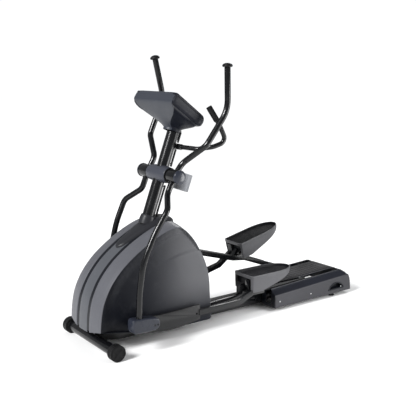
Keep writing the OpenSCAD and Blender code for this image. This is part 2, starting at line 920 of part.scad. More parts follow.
module housing_skin() {
    difference() {
        housing_form(0);
        housing_form(cover_wall);
        for (s = [-1, 1]) {
            y = s < 0 ? -slot_out : slot_in;
            translate([housing_x0 - 10, y, 54])
                cube([slot_x1 - housing_x0 + 10, slot_out - slot_in, 200]);
        }
        hand_recess(88, 60, housing_half_w - 8, housing_half_w + 5);
        right_side() hand_recess(88, 60, housing_half_w - 8, housing_half_w + 5);
        translate([housing_x0 - 5, -spine_half_w - 1, 0]) cube([20, 2 * spine_half_w + 2, spine_z1 + 1]);
        translate([1318, -96, 150]) rotate([0, -deck_pitch, 0]) translate([0, 0, 12])
            cube([650, 192, 20]);
    }
}

module deck_panel() {
    color("#45484c") place() translate([1318, -96, 150]) rotate([0, -deck_pitch, 0]) {
        translate([0.5, 0.5, 12.1]) cube([649, 191, 5]);
        for (i = [0 : 17])
            translate([12 + i * 35.5, 8, 17]) cube([22, 175, 1.4]);
    }
}

module roller_tracks() {
    x0 = 1436;
    x1 = 1915;
    color("#9a9da1") place() for (s = [-1, 1]) {
        translate([x0, s * arm_y - 12, track_z - 8.1]) cube([x1 - x0, 24, 8]);
        translate([x0, s * arm_y - 12, 60]) cube([x1 - x0, 5, track_z - 66]);
        translate([x0, s * arm_y - 30, 40]) cube([x1 - x0, 60, 20.1]);
    }
}

module rear_stand() {
    color("#26282c") place() {
        translate([spine_x1 + 0.1, -45, 40]) cube([560, 90, 50]);
        difference() {
            translate([1880, -190, 22]) cube([50, 380, 17.9]);
            for (s = [-1, 1])
                translate([1905, s * 172, 20]) cylinder(h = 24, r = 6);
        }
        translate([1440, -170, 22]) cube([40, 340, 17.9]);
    }
}

module levelling_foot() {
    translate([1905, -172, 0]) cylinder(h = 10, r = 22);
    translate([1905, -172, 10]) cylinder(h = 8, r1 = 22, r2 = 12);
    translate([1905, -172, 9]) cylinder(h = 30.5, r = 5.95);
}

module left_levelling_foot() {
    color("#151617") place() levelling_foot();
}

module right_levelling_foot() {
    color("#151617") place() right_side() levelling_foot();
}

module cover_screws() {
    color("#8a8d90") place() for (s = [-1, 1])
        for (x = [1350, 1650, 1960])
            translate([x, s * (housing_half_w + 0.05), 70])
                rotate([s < 0 ? 90 : -90, 0, 0]) cylinder(h = 2, r = 5);
}

main_spine();
front_crossbar();
left_transport_wheel();
right_transport_wheel();
mast();
mast_cable_tube();
pivot_shaft();
hub_cover();
mast_boot();
shroud_left();
shroud_right();
shroud_centre_strip();
console_shell();
console_bezel();
console_display();
console_keypad();
fixed_handle();
left_fixed_grip();
right_fixed_grip();
bottle_holder();
left_handlebar();
right_handlebar();
left_hub_cap();
right_hub_cap();
left_grip_cap();
right_grip_cap();
left_bracket_cover();
right_bracket_cover();
left_link_pin();
right_link_pin();
left_link();
right_link();
left_pedal();
right_pedal();
left_pedal_mat();
right_pedal_mat();
left_roller_arm();
right_roller_arm();
left_roller_axle();
right_roller_axle();
left_roller();
right_roller();
crank_set();
drive_pulley();
crank_support();
drive_belt();
flywheel();
flywheel_support();
brake_magnet();
track_housing();
deck_panel();
roller_tracks();
rear_stand();
left_levelling_foot();
right_levelling_foot();
cover_screws();
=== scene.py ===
"""Front-drive elliptical trainer: the visual model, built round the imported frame.

Sizes in the classes are millimetres from the front cross bar's axis (x rearward, y to the
user's right, z up from the floor), as in the part's source. Meshes are written in metres in
the row frame, whose origin lies mid-length on the floor.
"""
import logging
import math
from dataclasses import dataclass, replace
from enum import Enum
from typing import Any, Callable, Sequence

import bmesh
import bpy
import numpy as np
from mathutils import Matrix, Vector


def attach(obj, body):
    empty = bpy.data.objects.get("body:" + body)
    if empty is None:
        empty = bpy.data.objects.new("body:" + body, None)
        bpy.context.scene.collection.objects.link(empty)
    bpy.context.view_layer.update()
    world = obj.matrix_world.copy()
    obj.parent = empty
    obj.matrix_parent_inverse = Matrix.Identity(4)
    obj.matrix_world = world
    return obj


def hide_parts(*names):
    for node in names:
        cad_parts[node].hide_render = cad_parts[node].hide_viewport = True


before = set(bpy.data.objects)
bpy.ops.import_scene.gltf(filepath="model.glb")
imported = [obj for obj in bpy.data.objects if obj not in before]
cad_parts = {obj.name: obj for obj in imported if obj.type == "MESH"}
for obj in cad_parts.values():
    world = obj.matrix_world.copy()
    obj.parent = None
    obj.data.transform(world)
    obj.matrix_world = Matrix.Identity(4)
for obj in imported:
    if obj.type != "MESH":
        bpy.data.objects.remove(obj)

LOG = logging.getLogger("trainer")
MM = 1000.0
MID_X = 1000.0
HUB = (511.0, 1024.0)
HUB_AT = (HUB[0], 0.0, HUB[1])
MAST_LEAN = math.radians(20.6)
MAST_AXIS = (math.sin(MAST_LEAN), 0.0, math.cos(MAST_LEAN))
MAST_BACK = (math.cos(MAST_LEAN), 0.0, -math.sin(MAST_LEAN))
MERGE_M = 2e-5
SLIVER_M = 5e-5
FLAT_ANGLE = math.radians(0.6)
BEVEL_ANGLE = math.radians(36)
END_ROUND = 2.0
END_RINGS = 5
STEADY = (0.8, 0.6, 0.0)
SPAN_POINTS = 24


# ---------------------------------------------------------------- shader graph


class Wire:
    """A shader socket that can stand in arithmetic; every operation adds one Math node."""

    def __init__(self, graph: "Graph", socket: Any) -> None:
        """Keeps the graph and the socket."""
        self.graph, self.socket = graph, socket

    def _math(self, operation: str, *values: Any) -> "Wire":
        """Adds a Math node.

        Args:
            operation: Blender's name of the operation.
            values: the operands, wires or numbers, in order.

        Returns:
            The result's wire.
        """
        node = self.graph.node("ShaderNodeMath", {"operation": operation},
                               dict(enumerate(values)))
        return Wire(self.graph, node.outputs[0])

    def __add__(self, other: Any) -> "Wire":
        """self + other."""
        return self._math("ADD", self, other)

    __radd__ = __add__

    def __sub__(self, other: Any) -> "Wire":
        """self - other."""
        return self._math("SUBTRACT", self, other)

    def __rsub__(self, other: Any) -> "Wire":
        """other - self."""
        return self._math("SUBTRACT", other, self)

    def __mul__(self, other: Any) -> "Wire":
        """self * other."""
        return self._math("MULTIPLY", self, other)

    __rmul__ = __mul__

    def __pow__(self, other: Any) -> "Wire":
        """self to the power other."""
        return self._math("POWER", self, other)

    def between(self, low: float, high: float) -> "Wire":
        """Smooth 0 to 1 as the value goes from low to high."""
        node = self.graph.node("ShaderNodeMapRange", {"interpolation_type": "SMOOTHSTEP"},
                               {0: self, 1: low, 2: high})
        return Wire(self.graph, node.outputs[0])


class Graph:
    """One material's node graph with a Principled shader."""

    def __init__(self, name: str) -> None:
        """Makes the material and its two fixed nodes.

        Args:
            name: the material's name.
        """
        self.material = bpy.data.materials.new(name)
        self.material.use_nodes = True
        self.tree = self.material.node_tree
        self.tree.nodes.clear()
        self.shader = self.node("ShaderNodeBsdfPrincipled")
        self.node("ShaderNodeOutputMaterial", {}, {0: Wire(self, self.shader.outputs[0])})

    def node(self, kind: str, settings: dict[str, Any] | None = None,
             sockets: dict[int | str, Any] | None = None) -> Any:
        """Adds a node.

        Args:
            kind: Blender's node type.
            settings: attributes, set before the sockets; "stops" are a ramp's (place, colour).
            sockets: values or wires by input name or index.

        Returns:
            The node.
        """
        node = self.tree.nodes.new(kind)
        for key, value in (settings or {}).items():
            if key == "stops":
                ramp = node.color_ramp.elements
                for i, (place, colour) in enumerate(value):
                    stop = ramp[i] if i < 2 else ramp.new(place)
                    stop.position, stop.color = place, (*colour, 1.0)
            else:
                setattr(node, key, value)
        for key, value in (sockets or {}).items():
            self.plug(node, key, value)
        return node

    def plug(self, node: Any, key: int | str, value: Any) -> None:
        """Sets a socket to a number or colour, or links a wire to it.

        Args:
            node: the node that has the socket.
            key: the socket's name or index.
            value: a number, a colour or a wire.
        """
        socket = node.inputs[key]
        if isinstance(value, Wire):
            self.tree.links.new(value.socket, socket)
        elif isinstance(value, tuple) and len(value) == 3 and len(socket.default_value) == 4:
            socket.default_value = (*value, 1.0)
        else:
            socket.default_value = value

    def coords(self, scale: tuple[float, float, float] = (1, 1, 1)) -> Wire:
        """Object coordinates in metres.

        Args:
            scale: how much to stretch each axis.

        Returns:
            The vector's wire.
        """
        place = self.node("ShaderNodeTexCoord")
        mapping = self.node("ShaderNodeMapping", {}, {
            "Vector": Wire(self, place.outputs["Object"]), "Scale": scale})
        return Wire(self, mapping.outputs[0])

    def noise(self, scale: float, detail: float = 3.0, roughness: float = 0.55,
              stretch: tuple[float, float, float] = (1, 1, 1)) -> Wire:
        """Fractal noise from 0 to 1, scale cells to the metre."""
        node = self.node("ShaderNodeTexNoise", {}, {
            "Vector": self.coords(stretch), "Scale": scale, "Detail": detail,
            "Roughness": roughness})
        return Wire(self, node.outputs[0])

    def cells(self, scale: float, stretch: tuple[float, float, float] = (1, 1, 1)) -> Wire:
        """Distance to the nearest Voronoi cell point, scale cells to the metre."""
        node = self.node("ShaderNodeTexVoronoi", {"feature": "F1"}, {
            "Vector": self.coords(stretch), "Scale": scale})
        return Wire(self, node.outputs["Distance"])

    def blend(self, factor: Any, a: Any, b: Any) -> Wire:
        """Colour a where factor is 0, colour b where it is 1."""
        node = self.node("ShaderNodeMix", {"data_type": "RGBA"}, {0: factor, 6: a, 7: b})
        return Wire(self, node.outputs[2])

    def relief(self, height: Wire, depth_mm: float, strength: float = 1.0) -> Wire:
        """Bump from a height of 0 to 1 that stands for depth_mm."""
        node = self.node("ShaderNodeBump", {}, {
            "Height": height, "Distance": depth_mm / MM, "Strength": strength})
        return Wire(self, node.outputs[0])

    def finish(self, **sockets: Any) -> bpy.types.Material:
        """Sets the Principled shader's sockets, with _ for a space, and returns the material."""
        for key, value in sockets.items():
            self.plug(self.shader, key.replace("_", " "), value)
        return self.material


Colour = tuple[float, float, float]


def shade(colour: Colour, factor: float) -> Colour:
    """The colour times factor."""
    return tuple(min(1.0, c * factor) for c in colour)


# -------------------------------------------------------------------- finishes


@dataclass(frozen=True)
class PowderCoat:
    """Glossy black powder coat: fine orange peel, faint dust and small scuffs."""

    name: str = "powder_coat"
    colour: Colour = (0.004, 0.0042, 0.005)
    gloss: float = 0.2
    peel_scale: float = 420.0
    peel_mm: float = 0.02
    coat: float = 0.12
    coat_rough: float = 0.08
    sheen: float = 0.32

    def material(self) -> bpy.types.Material:
        """Builds the material.

        Returns:
            Roughness = gloss + dust + scuffs, bump = orange peel.
        """
        g = Graph(self.name)
        dust = g.noise(9.0, 4.0).between(0.45, 0.8)
        scuff = g.noise(160.0, 2.0, 0.4, (1.0, 1.0, 0.15)).between(0.66, 0.74)
        base = g.blend(dust * 0.4, self.colour, shade(self.colour, 1.7))
        base = g.blend(scuff * 0.25, base, shade(self.colour, 3.0))
        peel = g.noise(self.peel_scale, 2.0, 0.5)
        return g.finish(
            Base_Color=base, Roughness=dust * 0.09 + scuff * 0.12 + self.gloss,
            Normal=g.relief(peel, self.peel_mm, 0.3), Coat_Weight=self.coat,
            Coat_Roughness=self.coat_rough, Specular_IOR_Level=self.sheen)


@dataclass(frozen=True)
class MouldedPlastic:
    """Spark-eroded moulding: fine grain, slow tone drift, rubbed patches and hairline marks."""

    name: str = "moulded"
    colour: Colour = (0.06, 0.068, 0.085)
    rough: float = 0.42
    grain_scale: float = 1500.0
    grain_mm: float = 0.035
    drift: float = 0.16
    sparkle: float = 0.0
    sheen: float = 0.3
    rub_share: float = 0.22
    rub_tone: float = 1.5
    mark_share: float = 0.25
    mark_tone: float = 2.1
    polish: float = 0.07
    scratch: float = 0.08

    def wear_colour(self) -> Colour:
        """The colour that rubbed patches and hairlines are lightened from."""
        return self.colour

    def tone(self, g: Graph) -> Wire:
        """The unworn colour: darker and lighter by drift, as slow noise says."""
        return g.blend(g.noise(3.1, 3.0), shade(self.colour, 1 - self.drift),
                       shade(self.colour, 1 + self.drift))

    def material(self) -> bpy.types.Material:
        """Builds the material.

        Returns:
            Colour = tone, lightened where rubbed and along hairlines; roughness falls by
            polish where rubbed and rises by scratch on a hairline; bump = noise + cells / 2.
        """
        g = Graph(self.name)
        rubbed = g.noise(14.0, 5.0, 0.6).between(0.5, 0.78)
        hairline = g.noise(90.0, 2.0, 0.5, (1.0, 0.6, 7.0)).between(0.69, 0.73)
        worn = self.wear_colour()
        tone = g.blend(rubbed * self.rub_share, self.tone(g), shade(worn, self.rub_tone))
        tone = g.blend(hairline * self.mark_share, tone, shade(worn, self.mark_tone))
        grain = g.noise(self.grain_scale, 2.0, 0.6) + g.cells(self.grain_scale * 0.6) * 0.5
        return g.finish(
            Base_Color=tone, Roughness=rubbed * -self.polish + hairline * self.scratch + self.rough,
            Normal=g.relief(grain, self.grain_mm, 0.6), Metallic=self.sparkle,
            Specular_IOR_Level=self.sheen)


@dataclass(frozen=True)
class FadedPanel(MouldedPlastic):
    """A moulding with painted light and shade: its tone lifts from dark at the front to light at the
    rear.
    """

    light: Colour = (0.1, 0.101, 0.108)
    start: float = -0.9
    end: float = -0.34
    foot: float = 0.06
    full: float = 0.38
    rub_share: float = 0.12
    rub_tone: float = 0.8
    mark_share: float = 0.12
    mark_tone: float = 1.3
    polish: float = 0.05
    scratch: float = 0.06

    def wear_colour(self) -> Colour:
        """Wear is mixed from the light colour here."""
        return self.light

    def tone(self, g: Graph) -> Wire:
        """Painted shade to painted light: colour to light by lift = (how far rearward)^2.1 times (how
        far up).

        Args:
            g: the material's graph.

        Returns:
            The colour's wire.
        """
        place = Wire(g, g.node("ShaderNodeTexCoord").outputs["Object"])
        axes = g.node("ShaderNodeSeparateXYZ", {}, {0: place}).outputs
        rearward = Wire(g, axes[0]).between(self.start, self.end)
        upward = Wire(g, axes[2]).between(self.foot, self.full)
        # Painted shade at the front and towards the bottom, painted light at the rear top.
        return g.blend(rearward ** 2.1 * upward, self.colour, self.light)


@dataclass(frozen=True)
class PebbledPanel:
    """Anti-slip moulding with a raised pebble pattern, darker between the pebbles and lighter on
    their tops.
    """

    name: str = "pebbled"
    colour: Colour = (0.022, 0.023, 0.026)
    pebble_scale: float = 330.0
    pebble_mm: float = 0.45
    rough: float = 0.58
    sheen: float = 0.18

    def material(self) -> bpy.types.Material:
        """Builds the material.

        Returns:
            Pebble height = 1 - distance to the cell's middle; the valleys are darker.
        """
        g = Graph(self.name)
        pebble = 1.0 - g.cells(self.pebble_scale)
        worn = g.noise(7.0, 4.0).between(0.42, 0.75)
        valley = pebble.between(0.75, 0.35)
        tone = g.blend(valley, shade(self.colour, 1.25), shade(self.colour, 0.6))
        tone = g.blend(worn * 0.4, tone, shade(self.colour, 1.8))
        return g.finish(
            Base_Color=tone, Roughness=valley * 0.15 - worn * 0.1 + self.rough,
            Normal=g.relief(pebble.between(0.3, 0.85), self.pebble_mm, 0.8),
            Specular_IOR_Level=self.sheen)


@dataclass(frozen=True)
class Rubber:
    """Matt rubber: bloom, fine pores and grey scuffing."""

    name: str = "rubber"
    colour: Colour = (0.0045, 0.0045, 0.005)
    rough: float = 0.5
    pore_scale: float = 900.0
    pore_mm: float = 0.06
    sheen: float = 0.2

    def material(self) -> bpy.types.Material:
        """Builds the material.

        Returns:
            Bloom and scuffs lighten by noise, pores dent the surface.
        """
        g = Graph(self.name)
        bloom = g.noise(22.0, 5.0, 0.65).between(0.45, 0.8)
        scuff = g.noise(70.0, 3.0, 0.6, (1.0, 1.0, 0.4)).between(0.62, 0.72)
        tone = g.blend(bloom * 0.45, self.colour, shade(self.colour, 2.6))
        tone = g.blend(scuff * 0.3, tone, shade(self.colour, 5.0))
        pores = g.cells(self.pore_scale) * 0.6 + g.noise(self.pore_scale * 0.5, 3.0) * 0.4
        return g.finish(
            Base_Color=tone, Roughness=bloom * 0.12 + self.rough,
            Normal=g.relief(pores, self.pore_mm, 0.7), Specular_IOR_Level=self.sheen)


@dataclass(frozen=True)
class MachinedSteel:
    """Turned or drawn steel: lay lines along one axis, grease haze and spots."""

    name: str = "machined_steel"
    colour: Colour = (0.5, 0.51, 0.52)
    rough: float = 0.26
    lay: tuple[float, float, float] = (0.03, 1.0, 1.0)
    lay_mm: float = 0.02

    def material(self) -> bpy.types.Material:
        """Builds the material.

        Returns:
            Lay lines are noise stretched along the cut, dulled by a grease haze.
        """
        g = Graph(self.name)
        lines = g.noise(900.0, 3.0, 0.7, self.lay)
        haze = g.noise(18.0, 4.0).between(0.4, 0.8)
        tone = g.blend(lines, shade(self.colour, 0.82), shade(self.colour, 1.12))
        tone = g.blend(haze * 0.35, tone, shade(self.colour, 0.55))
        return g.finish(
            Base_Color=tone, Metallic=1.0, Roughness=lines * 0.12 + haze * 0.14 + self.rough,
            Normal=g.relief(lines, self.lay_mm, 0.5))


@dataclass(frozen=True)
class SmokedWindow:
    """Smoked acrylic over an unlit display: deep gloss, faint segments and finger haze."""

    name: str = "smoked_window"
    colour: Colour = (0.008, 0.011, 0.012)

    def material(self) -> bpy.types.Material:
        """Builds the material.

        Returns:
            A field of unlit segments under a smooth coat.
        """
        g = Graph(self.name)
        haze = g.noise(30.0, 5.0, 0.6).between(0.48, 0.8)
        bars = g.cells(120.0, (1.0, 0.55, 1.0)).between(0.2, 0.32)
        tone = g.blend(bars * 0.5, shade(self.colour, 2.2), self.colour)
        return g.finish(Base_Color=tone, Roughness=haze * 0.16 + 0.06, Coat_Weight=1.0,
                        Coat_Roughness=0.03)


class Paint(Enum):
    """The finishes that the trainer's pieces wear."""

    FRAME = PowderCoat()
    # The side walls' colour holds painted shade at the front and bottom, lifting to painted light at
    # the rear top.
    SHROUD = FadedPanel("shroud_moulding", (0.006, 0.007, 0.011), 0.4, sheen=0.12)
    BAND = MouldedPlastic("band_moulding", (0.088, 0.09, 0.102), 0.4)
    STRIP = MouldedPlastic("strip_moulding", (0.072, 0.076, 0.086), 0.4)
    BOOT = MouldedPlastic("boot_moulding", (0.02, 0.0205, 0.024), 0.38, sheen=0.2)
    CONSOLE = MouldedPlastic("console_moulding", (0.032, 0.036, 0.047), 0.4)
    CONSOLE_SIDE = MouldedPlastic("console_side_moulding", (0.0085, 0.0098, 0.0155), 0.38, sheen=0.14)
    COVER = MouldedPlastic("cover_moulding", (0.02, 0.023, 0.034), 0.3, sheen=0.4)
    HUB = MouldedPlastic("hub_moulding", (0.042, 0.045, 0.058), 0.36)
    HOUSING = MouldedPlastic("housing_moulding", (0.034, 0.034, 0.039), 0.36, sparkle=0.15)
    HOUSING_TOP = MouldedPlastic("housing_top_moulding", (0.008, 0.009, 0.014), 0.34)
    PEDAL = MouldedPlastic("pedal_moulding", (0.062, 0.062, 0.067), 0.44, 900.0, 0.06)
    TRAY = MouldedPlastic("tray_moulding", (0.006, 0.006, 0.008), 0.42, 900.0, 0.06, sheen=0.15)
    DARK = MouldedPlastic("dark_moulding", (0.006, 0.007, 0.01), 0.36, sheen=0.2)
    CUP = MouldedPlastic("cup_moulding", (0.2, 0.205, 0.22), 0.28, sparkle=0.25)
    DECK = PebbledPanel("pebbled", (0.036, 0.035, 0.038))
    MAT = PebbledPanel("tread_mat", (0.009, 0.009, 0.011), 520.0, 0.25, 0.6)
    RUBBER = Rubber()
    STEEL = MachinedSteel()
    STEEL_DARK = MachinedSteel("crank_steel", (0.2, 0.2, 0.205), 0.34)
    IRON = MachinedSteel("flywheel_iron", (0.26, 0.26, 0.265), 0.4, (1.0, 0.03, 1.0))
    CAST = MachinedSteel("cast_holder", (0.42, 0.42, 0.42), 0.5, (1.0, 1.0, 1.0))
    WINDOW = SmokedWindow()

    def coat(self) -> bpy.types.Material:
        """The finish's material, made the first time that it is asked for."""
        return bpy.data.materials.get(self.value.name) or self.value.material()


# -------------------------------------------------------------------- surfaces


@dataclass
class Skin:
    """A surface in millimetres: points, and faces that index them."""

    points: np.ndarray
    faces: list[list[int]]

    def __add__(self, other: "Skin") -> "Skin":
        """Both surfaces as one."""
        shift = len(self.points)
        return Skin(np.vstack([self.points, other.points]),
                    self.faces + [[i + shift for i in f] for f in other.faces])

    def flipped(self, sign: int) -> "Skin":
        """The same surface with y times sign."""
        return Skin(self.points * (1, sign, 1), self.faces)


def lattice(points: np.ndarray, close_v: bool = False, keep: np.ndarray | None = None) -> Skin:
    """Quads over a grid of points.

    Args:
        points: (nu, nv, 3) grid.
        close_v: joins the last column to the first.
        keep: which cells to keep, as a boolean grid.

    Returns:
        The surface; cell (i, j) has corners (i, j), (i+1, j), (i+1, j+1), (i, j+1).
    """
    nu, nv = points.shape[:2]
    i, j = np.meshgrid(np.arange(nu - 1), np.arange(nv if close_v else nv - 1), indexing="ij")
    i2, j2 = i + 1, (j + 1) % nv
    quads = np.stack([i * nv + j, i2 * nv + j, i2 * nv + j2, i * nv + j2], axis=-1)
    quads = quads[keep] if keep is not None else quads.reshape(-1, 4)
    return Skin(points.reshape(-1, 3), quads.tolist())


def lid(ring: np.ndarray) -> Skin:
    """One flat face over a ring of points."""
    return Skin(ring, [list(range(len(ring)))])


def stacked(rings: np.ndarray, last: bool = True) -> Skin:
    """A closed wall through rings of points, with a flat lid at either end.

    Args:
        rings: (nu, nv, 3) rings, each closed.
        last: whether the last ring gets a lid too.

    Returns:
        The surface.
    """
    skin = lattice(rings, close_v=True) + lid(rings[0])
    return skin + lid(rings[-1][::-1]) if last else skin


def touched(above: np.ndarray) -> np.ndarray:
    """Which cells of a grid have at least one true corner."""
    return above[:-1, :-1] | above[1:, :-1] | above[1:, 1:] | above[:-1, 1:]


def unit(v: np.ndarray) -> np.ndarray:
    """v over its length, along the last axis."""
    return v / np.maximum(np.linalg.norm(v, axis=-1, keepdims=True), 1e-9)


def spline(points: Sequence[Sequence[float]], count: int, closed: bool = False) -> np.ndarray:
    """Catmull-Rom curve through the points.

    Args:
        points: the knots.
        count: how many points to return, evenly spaced along the curve.
        closed: whether the curve returns to its first knot.

    Returns:
        (count, dims) points. Between knots p1 and p2 the curve is
        0.5 (2 p1 + (p2-p0) t + (2p0-5p1+4p2-p3) t^2 + (3p1-p0-3p2+p3) t^3).
    """
    p = np.asarray(points, float)
    q = np.vstack([p[-1:], p, p[:2]]) if closed else np.vstack(
        [2 * p[0] - p[1], p, 2 * p[-1] - p[-2]])
    t = np.linspace(0, 1, SPAN_POINTS, endpoint=False)[None, :, None]
    p0, p1, p2, p3 = (q[k:len(q) - 3 + k][:, None, :] for k in range(4))
    dense = 0.5 * (2 * p1 + (p2 - p0) * t + (2 * p0 - 5 * p1 + 4 * p2 - p3) * t ** 2
                   + (3 * p1 - p0 - 3 * p2 + p3) * t ** 3).reshape(-1, p.shape[1])
    dense = np.vstack([dense, p[:1] if closed else p[-1:]])
    run = np.concatenate([[0], np.cumsum(np.linalg.norm(np.diff(dense, axis=0), axis=1))])
    want = np.linspace(0, run[-1], count, endpoint=not closed)
    return np.stack([np.interp(want, run, dense[:, k]) for k in range(p.shape[1])], axis=1)


def rounded_path(corners: Sequence[Sequence[float]], bends: Sequence[float],
                 step: float = 4.0) -> np.ndarray:
    """Centreline of a bent tube.

    Args:
        corners: the corner points.
        bends: centreline radius at each inner corner.
        step: degrees between points on a bend.

    Returns:
        (n, 3) points. A bend of radius R at corner b starts R tan(turn / 2) before b and runs
        m + R (sin a u - cos a n), where m is its middle, u the way in and n the inward normal.
    """
    c = np.asarray(corners, float)
    parts = [c[:1]]
    for a, b, d, radius in zip(c[:-2], c[1:-1], c[2:], bends):
        u, w = unit(b - a), unit(d - b)
        turn = math.acos(float(np.clip(u @ w, -1, 1)))
        n = unit(w - (w @ u) * u)
        m = b - u * radius * math.tan(turn / 2) + n * radius
        arc = np.linspace(0, turn, max(4, int(math.degrees(turn) / step) + 2))[:, None]
        parts.append(m + radius * (np.sin(arc) * u - np.cos(arc) * n))
    parts.append(c[-1:])
    return np.vstack(parts)


def rounded_plate(corners: Sequence[Sequence[float]], bends: Sequence[float],
                  step: float) -> np.ndarray:
    """Closed outline of a flat plate.

    Args:
        corners: the corner points, in order.
        bends: radius at each corner, the first corner's last.
        step: degrees between points on a corner.

    Returns:
        (n, 2) points.
    """
    p = np.asarray(corners, float)
    ring = np.pad(np.vstack([p, p[:2]]), ((0, 0), (0, 1)))
    return rounded_path(ring, bends, step)[1:-1, :2]


def sweep(path: np.ndarray, radius: float, sides: int = 28) -> Skin:
    """A round bar along a path.

    Args:
        path: (n, 3) centreline.
        radius: the bar's radius.
        sides: points round it.

    Returns:
        The surface p(s) + r (cos a e1 + sin a e2), with e1 = t x STEADY, a direction that no
        bar takes, and e2 = t x e1. Rings that step out and shrink along a quarter circle
        round both ends.
    """
    t = unit(np.gradient(path, axis=0))
    q = np.linspace(math.pi / 2, 0, END_RINGS)
    out, shrink = END_ROUND * np.cos(q), END_ROUND * (1 - np.sin(q))
    head = path[0] - t[0] * (out[::-1][:, None] - END_ROUND)
    tail = path[-1] + t[-1] * (out[:, None] - END_ROUND)
    full = np.vstack([head, path[1:-1], tail])
    r = np.concatenate([radius - shrink[::-1], np.full(len(path) - 2, radius), radius - shrink])
    tt = np.vstack([np.repeat(t[:1], END_RINGS, 0), t[1:-1], np.repeat(t[-1:], END_RINGS, 0)])
    e1 = unit(np.cross(tt, np.asarray(STEADY)))
    e2 = np.cross(tt, e1)
    a = np.linspace(0, 2 * math.pi, sides, endpoint=False)[None, :, None]
    rings = full[:, None] + r[:, None, None] * (np.cos(a) * e1[:, None] + np.sin(a) * e2[:, None])
    return stacked(rings)


def lathe(profile: Sequence[Sequence[float]], origin: Sequence[float],
          axis: Sequence[float] = (0, 1, 0), sides: int = 56) -> Skin:
    """A profile of (radius, height) turned about an axis.

    Args:
        profile: the (radius, height) points.
        origin: the point on the axis at height 0.
        axis: the axis's direction.
        sides: points round it.

    Returns:
        The surface origin + h axis + r (cos a e1 + sin a e2), closed at both ends of the
        profile where the radius is not 0.
    """
    p = np.asarray(profile, float)
    k = unit(np.asarray(axis, float))
    e1 = unit(np.cross(k, (0.0, 0.0, 1.0) if abs(k[2]) < 0.9 else (1.0, 0.0, 0.0)))
    e2 = np.cross(k, e1)
    a = np.linspace(0, 2 * math.pi, sides, endpoint=False)[None, :, None]
    rings = (np.asarray(origin, float) + p[:, 1, None, None] * k
             + p[:, 0, None, None] * (np.cos(a) * e1 + np.sin(a) * e2))
    return stacked(rings)


def fillet(r: float, h0: float, h1: float, edge: float, steps: int = 5) -> list:
    """Profile of a cylinder with both outer edges rounded.

    Args:
        r: its radius.
        h0: its lower end.
        h1: its upper end.
        edge: radius of the edges.
        steps: points on each edge.

    Returns:
        (radius, height) points along two quarter circles.
    """
    q = np.linspace(0, math.pi / 2, steps)
    low = [(r - edge + edge * math.sin(t), h0 + edge - edge * math.cos(t)) for t in q]
    high = [(r - edge + edge * math.cos(t), h1 - edge + edge * math.sin(t)) for t in q]
    return low + high


def inset(outline: np.ndarray, d: float) -> np.ndarray:
    """A closed outline moved along its normals.

    Args:
        outline: (n, 2) points.
        d: how far inward; less than 0 moves it outward.

    Returns:
        (n, 2) points.
    """
    t = unit(np.roll(outline, -1, 0) - np.roll(outline, 1, 0))
    n = np.stack([-t[:, 1], t[:, 0]], axis=1)
    area = np.sum(outline[:, 0] * np.roll(outline[:, 1], -1)
                  - outline[:, 1] * np.roll(outline[:, 0], -1))
    return outline + (n if area > 0 else -n) * d


def cushioned_slab(outline: np.ndarray, h0: float, h1: float, edge: float,
                   lift: Callable[[np.ndarray, float], np.ndarray]) -> Skin:
    """A slab over a closed outline with rounded edges.

    Args:
        outline: (n, 2) closed outline.
        h0: height of the lower face.
        h1: height of the upper face.
        edge: edge radius.
        lift: turns (n, 2) outline points and a height into (n, 3) points.

    Returns:
        Rings of outline inset by edge (1 - cos q) at heights edge (1 - sin q) from each face.
    """
    q = np.linspace(0, math.pi / 2, 4)
    low = [lift(inset(outline, edge * (1 - math.sin(t))), h0 + edge * (1 - math.cos(t))) for t in q]
    high = [lift(inset(outline, edge * (1 - math.cos(t))), h1 - edge * (1 - math.sin(t))) for t in q]
    return stacked(np.stack(low + high))


def upright(p: np.ndarray, y: float) -> np.ndarray:
    """Outline points (x, z) stood up at y, as (n, 3) points."""
    return np.stack([p[:, 0], np.full(len(p), y), p[:, 1]], 1)


def smoothstep(x: Any, low: float, high: float) -> Any:
    """3 t^2 - 2 t^3 with t from 0 at low to 1 at high."""
    t = np.clip((np.asarray(x, float) - low) / (high - low), 0, 1)
    return t * t * (3 - 2 * t)


class Side(Enum):
    """The user's left or right, with the sign of y there."""

    LEFT = -1
    RIGHT = 1

    @property
    def word(self) -> str:
        """left or right."""
        return self.name.lower()


@dataclass(frozen=True)
class Placement:
    """Where the right-hand copy of a left-hand shape stands at rest."""

    about: tuple[float, float]
    to: tuple[float, float]
    turn: float

    def points(self, p: np.ndarray) -> np.ndarray:
        """Mirrors in y, turns about an axis along y through about, and moves that axis.

        Args:
            p: (n, 3) points of the left-hand shape.

        Returns:
            Points x' = X + dx cos t + dz sin t, y' = -y, z' = Z - dx sin t + dz cos t, where
            (X, Z) is the axis's new place and (dx, dz) the distance from its old one.
        """
        t = math.radians(self.turn)
        dx, dz = p[:, 0] - self.about[0], p[:, 2] - self.about[1]
        return np.stack([self.to[0] + dx * math.cos(t) + dz * math.sin(t), -p[:, 1],
                         self.to[1] - dx * math.sin(t) + dz * math.cos(t)], axis=1)

    def on(self, skin: Skin, side: Side) -> Skin:
        """The skin itself on the left, its placed mirror image on the right."""
        if side is Side.LEFT:
            return skin
        return Skin(self.points(skin.points), [f[::-1] for f in skin.faces])


HANDLE = Placement(HUB, HUB, -12.2)
LINK = Placement((170.0, 175.0), (357.1, 122.1), -13.1)
ARM = Placement((1610.0, 160.0), (1730.0, 160.0), 19.06)


# ---------------------------------------------------------------- piece making


@dataclass(frozen=True)
class Dress:
    """How a finished piece is coated and where it belongs."""

    body: str
    slot: str
    paint: Paint
    replaces: tuple[str, ...] = ()
    wall: float = 0.0
    bevel: float = 0.0
    crisp: float = 34.0


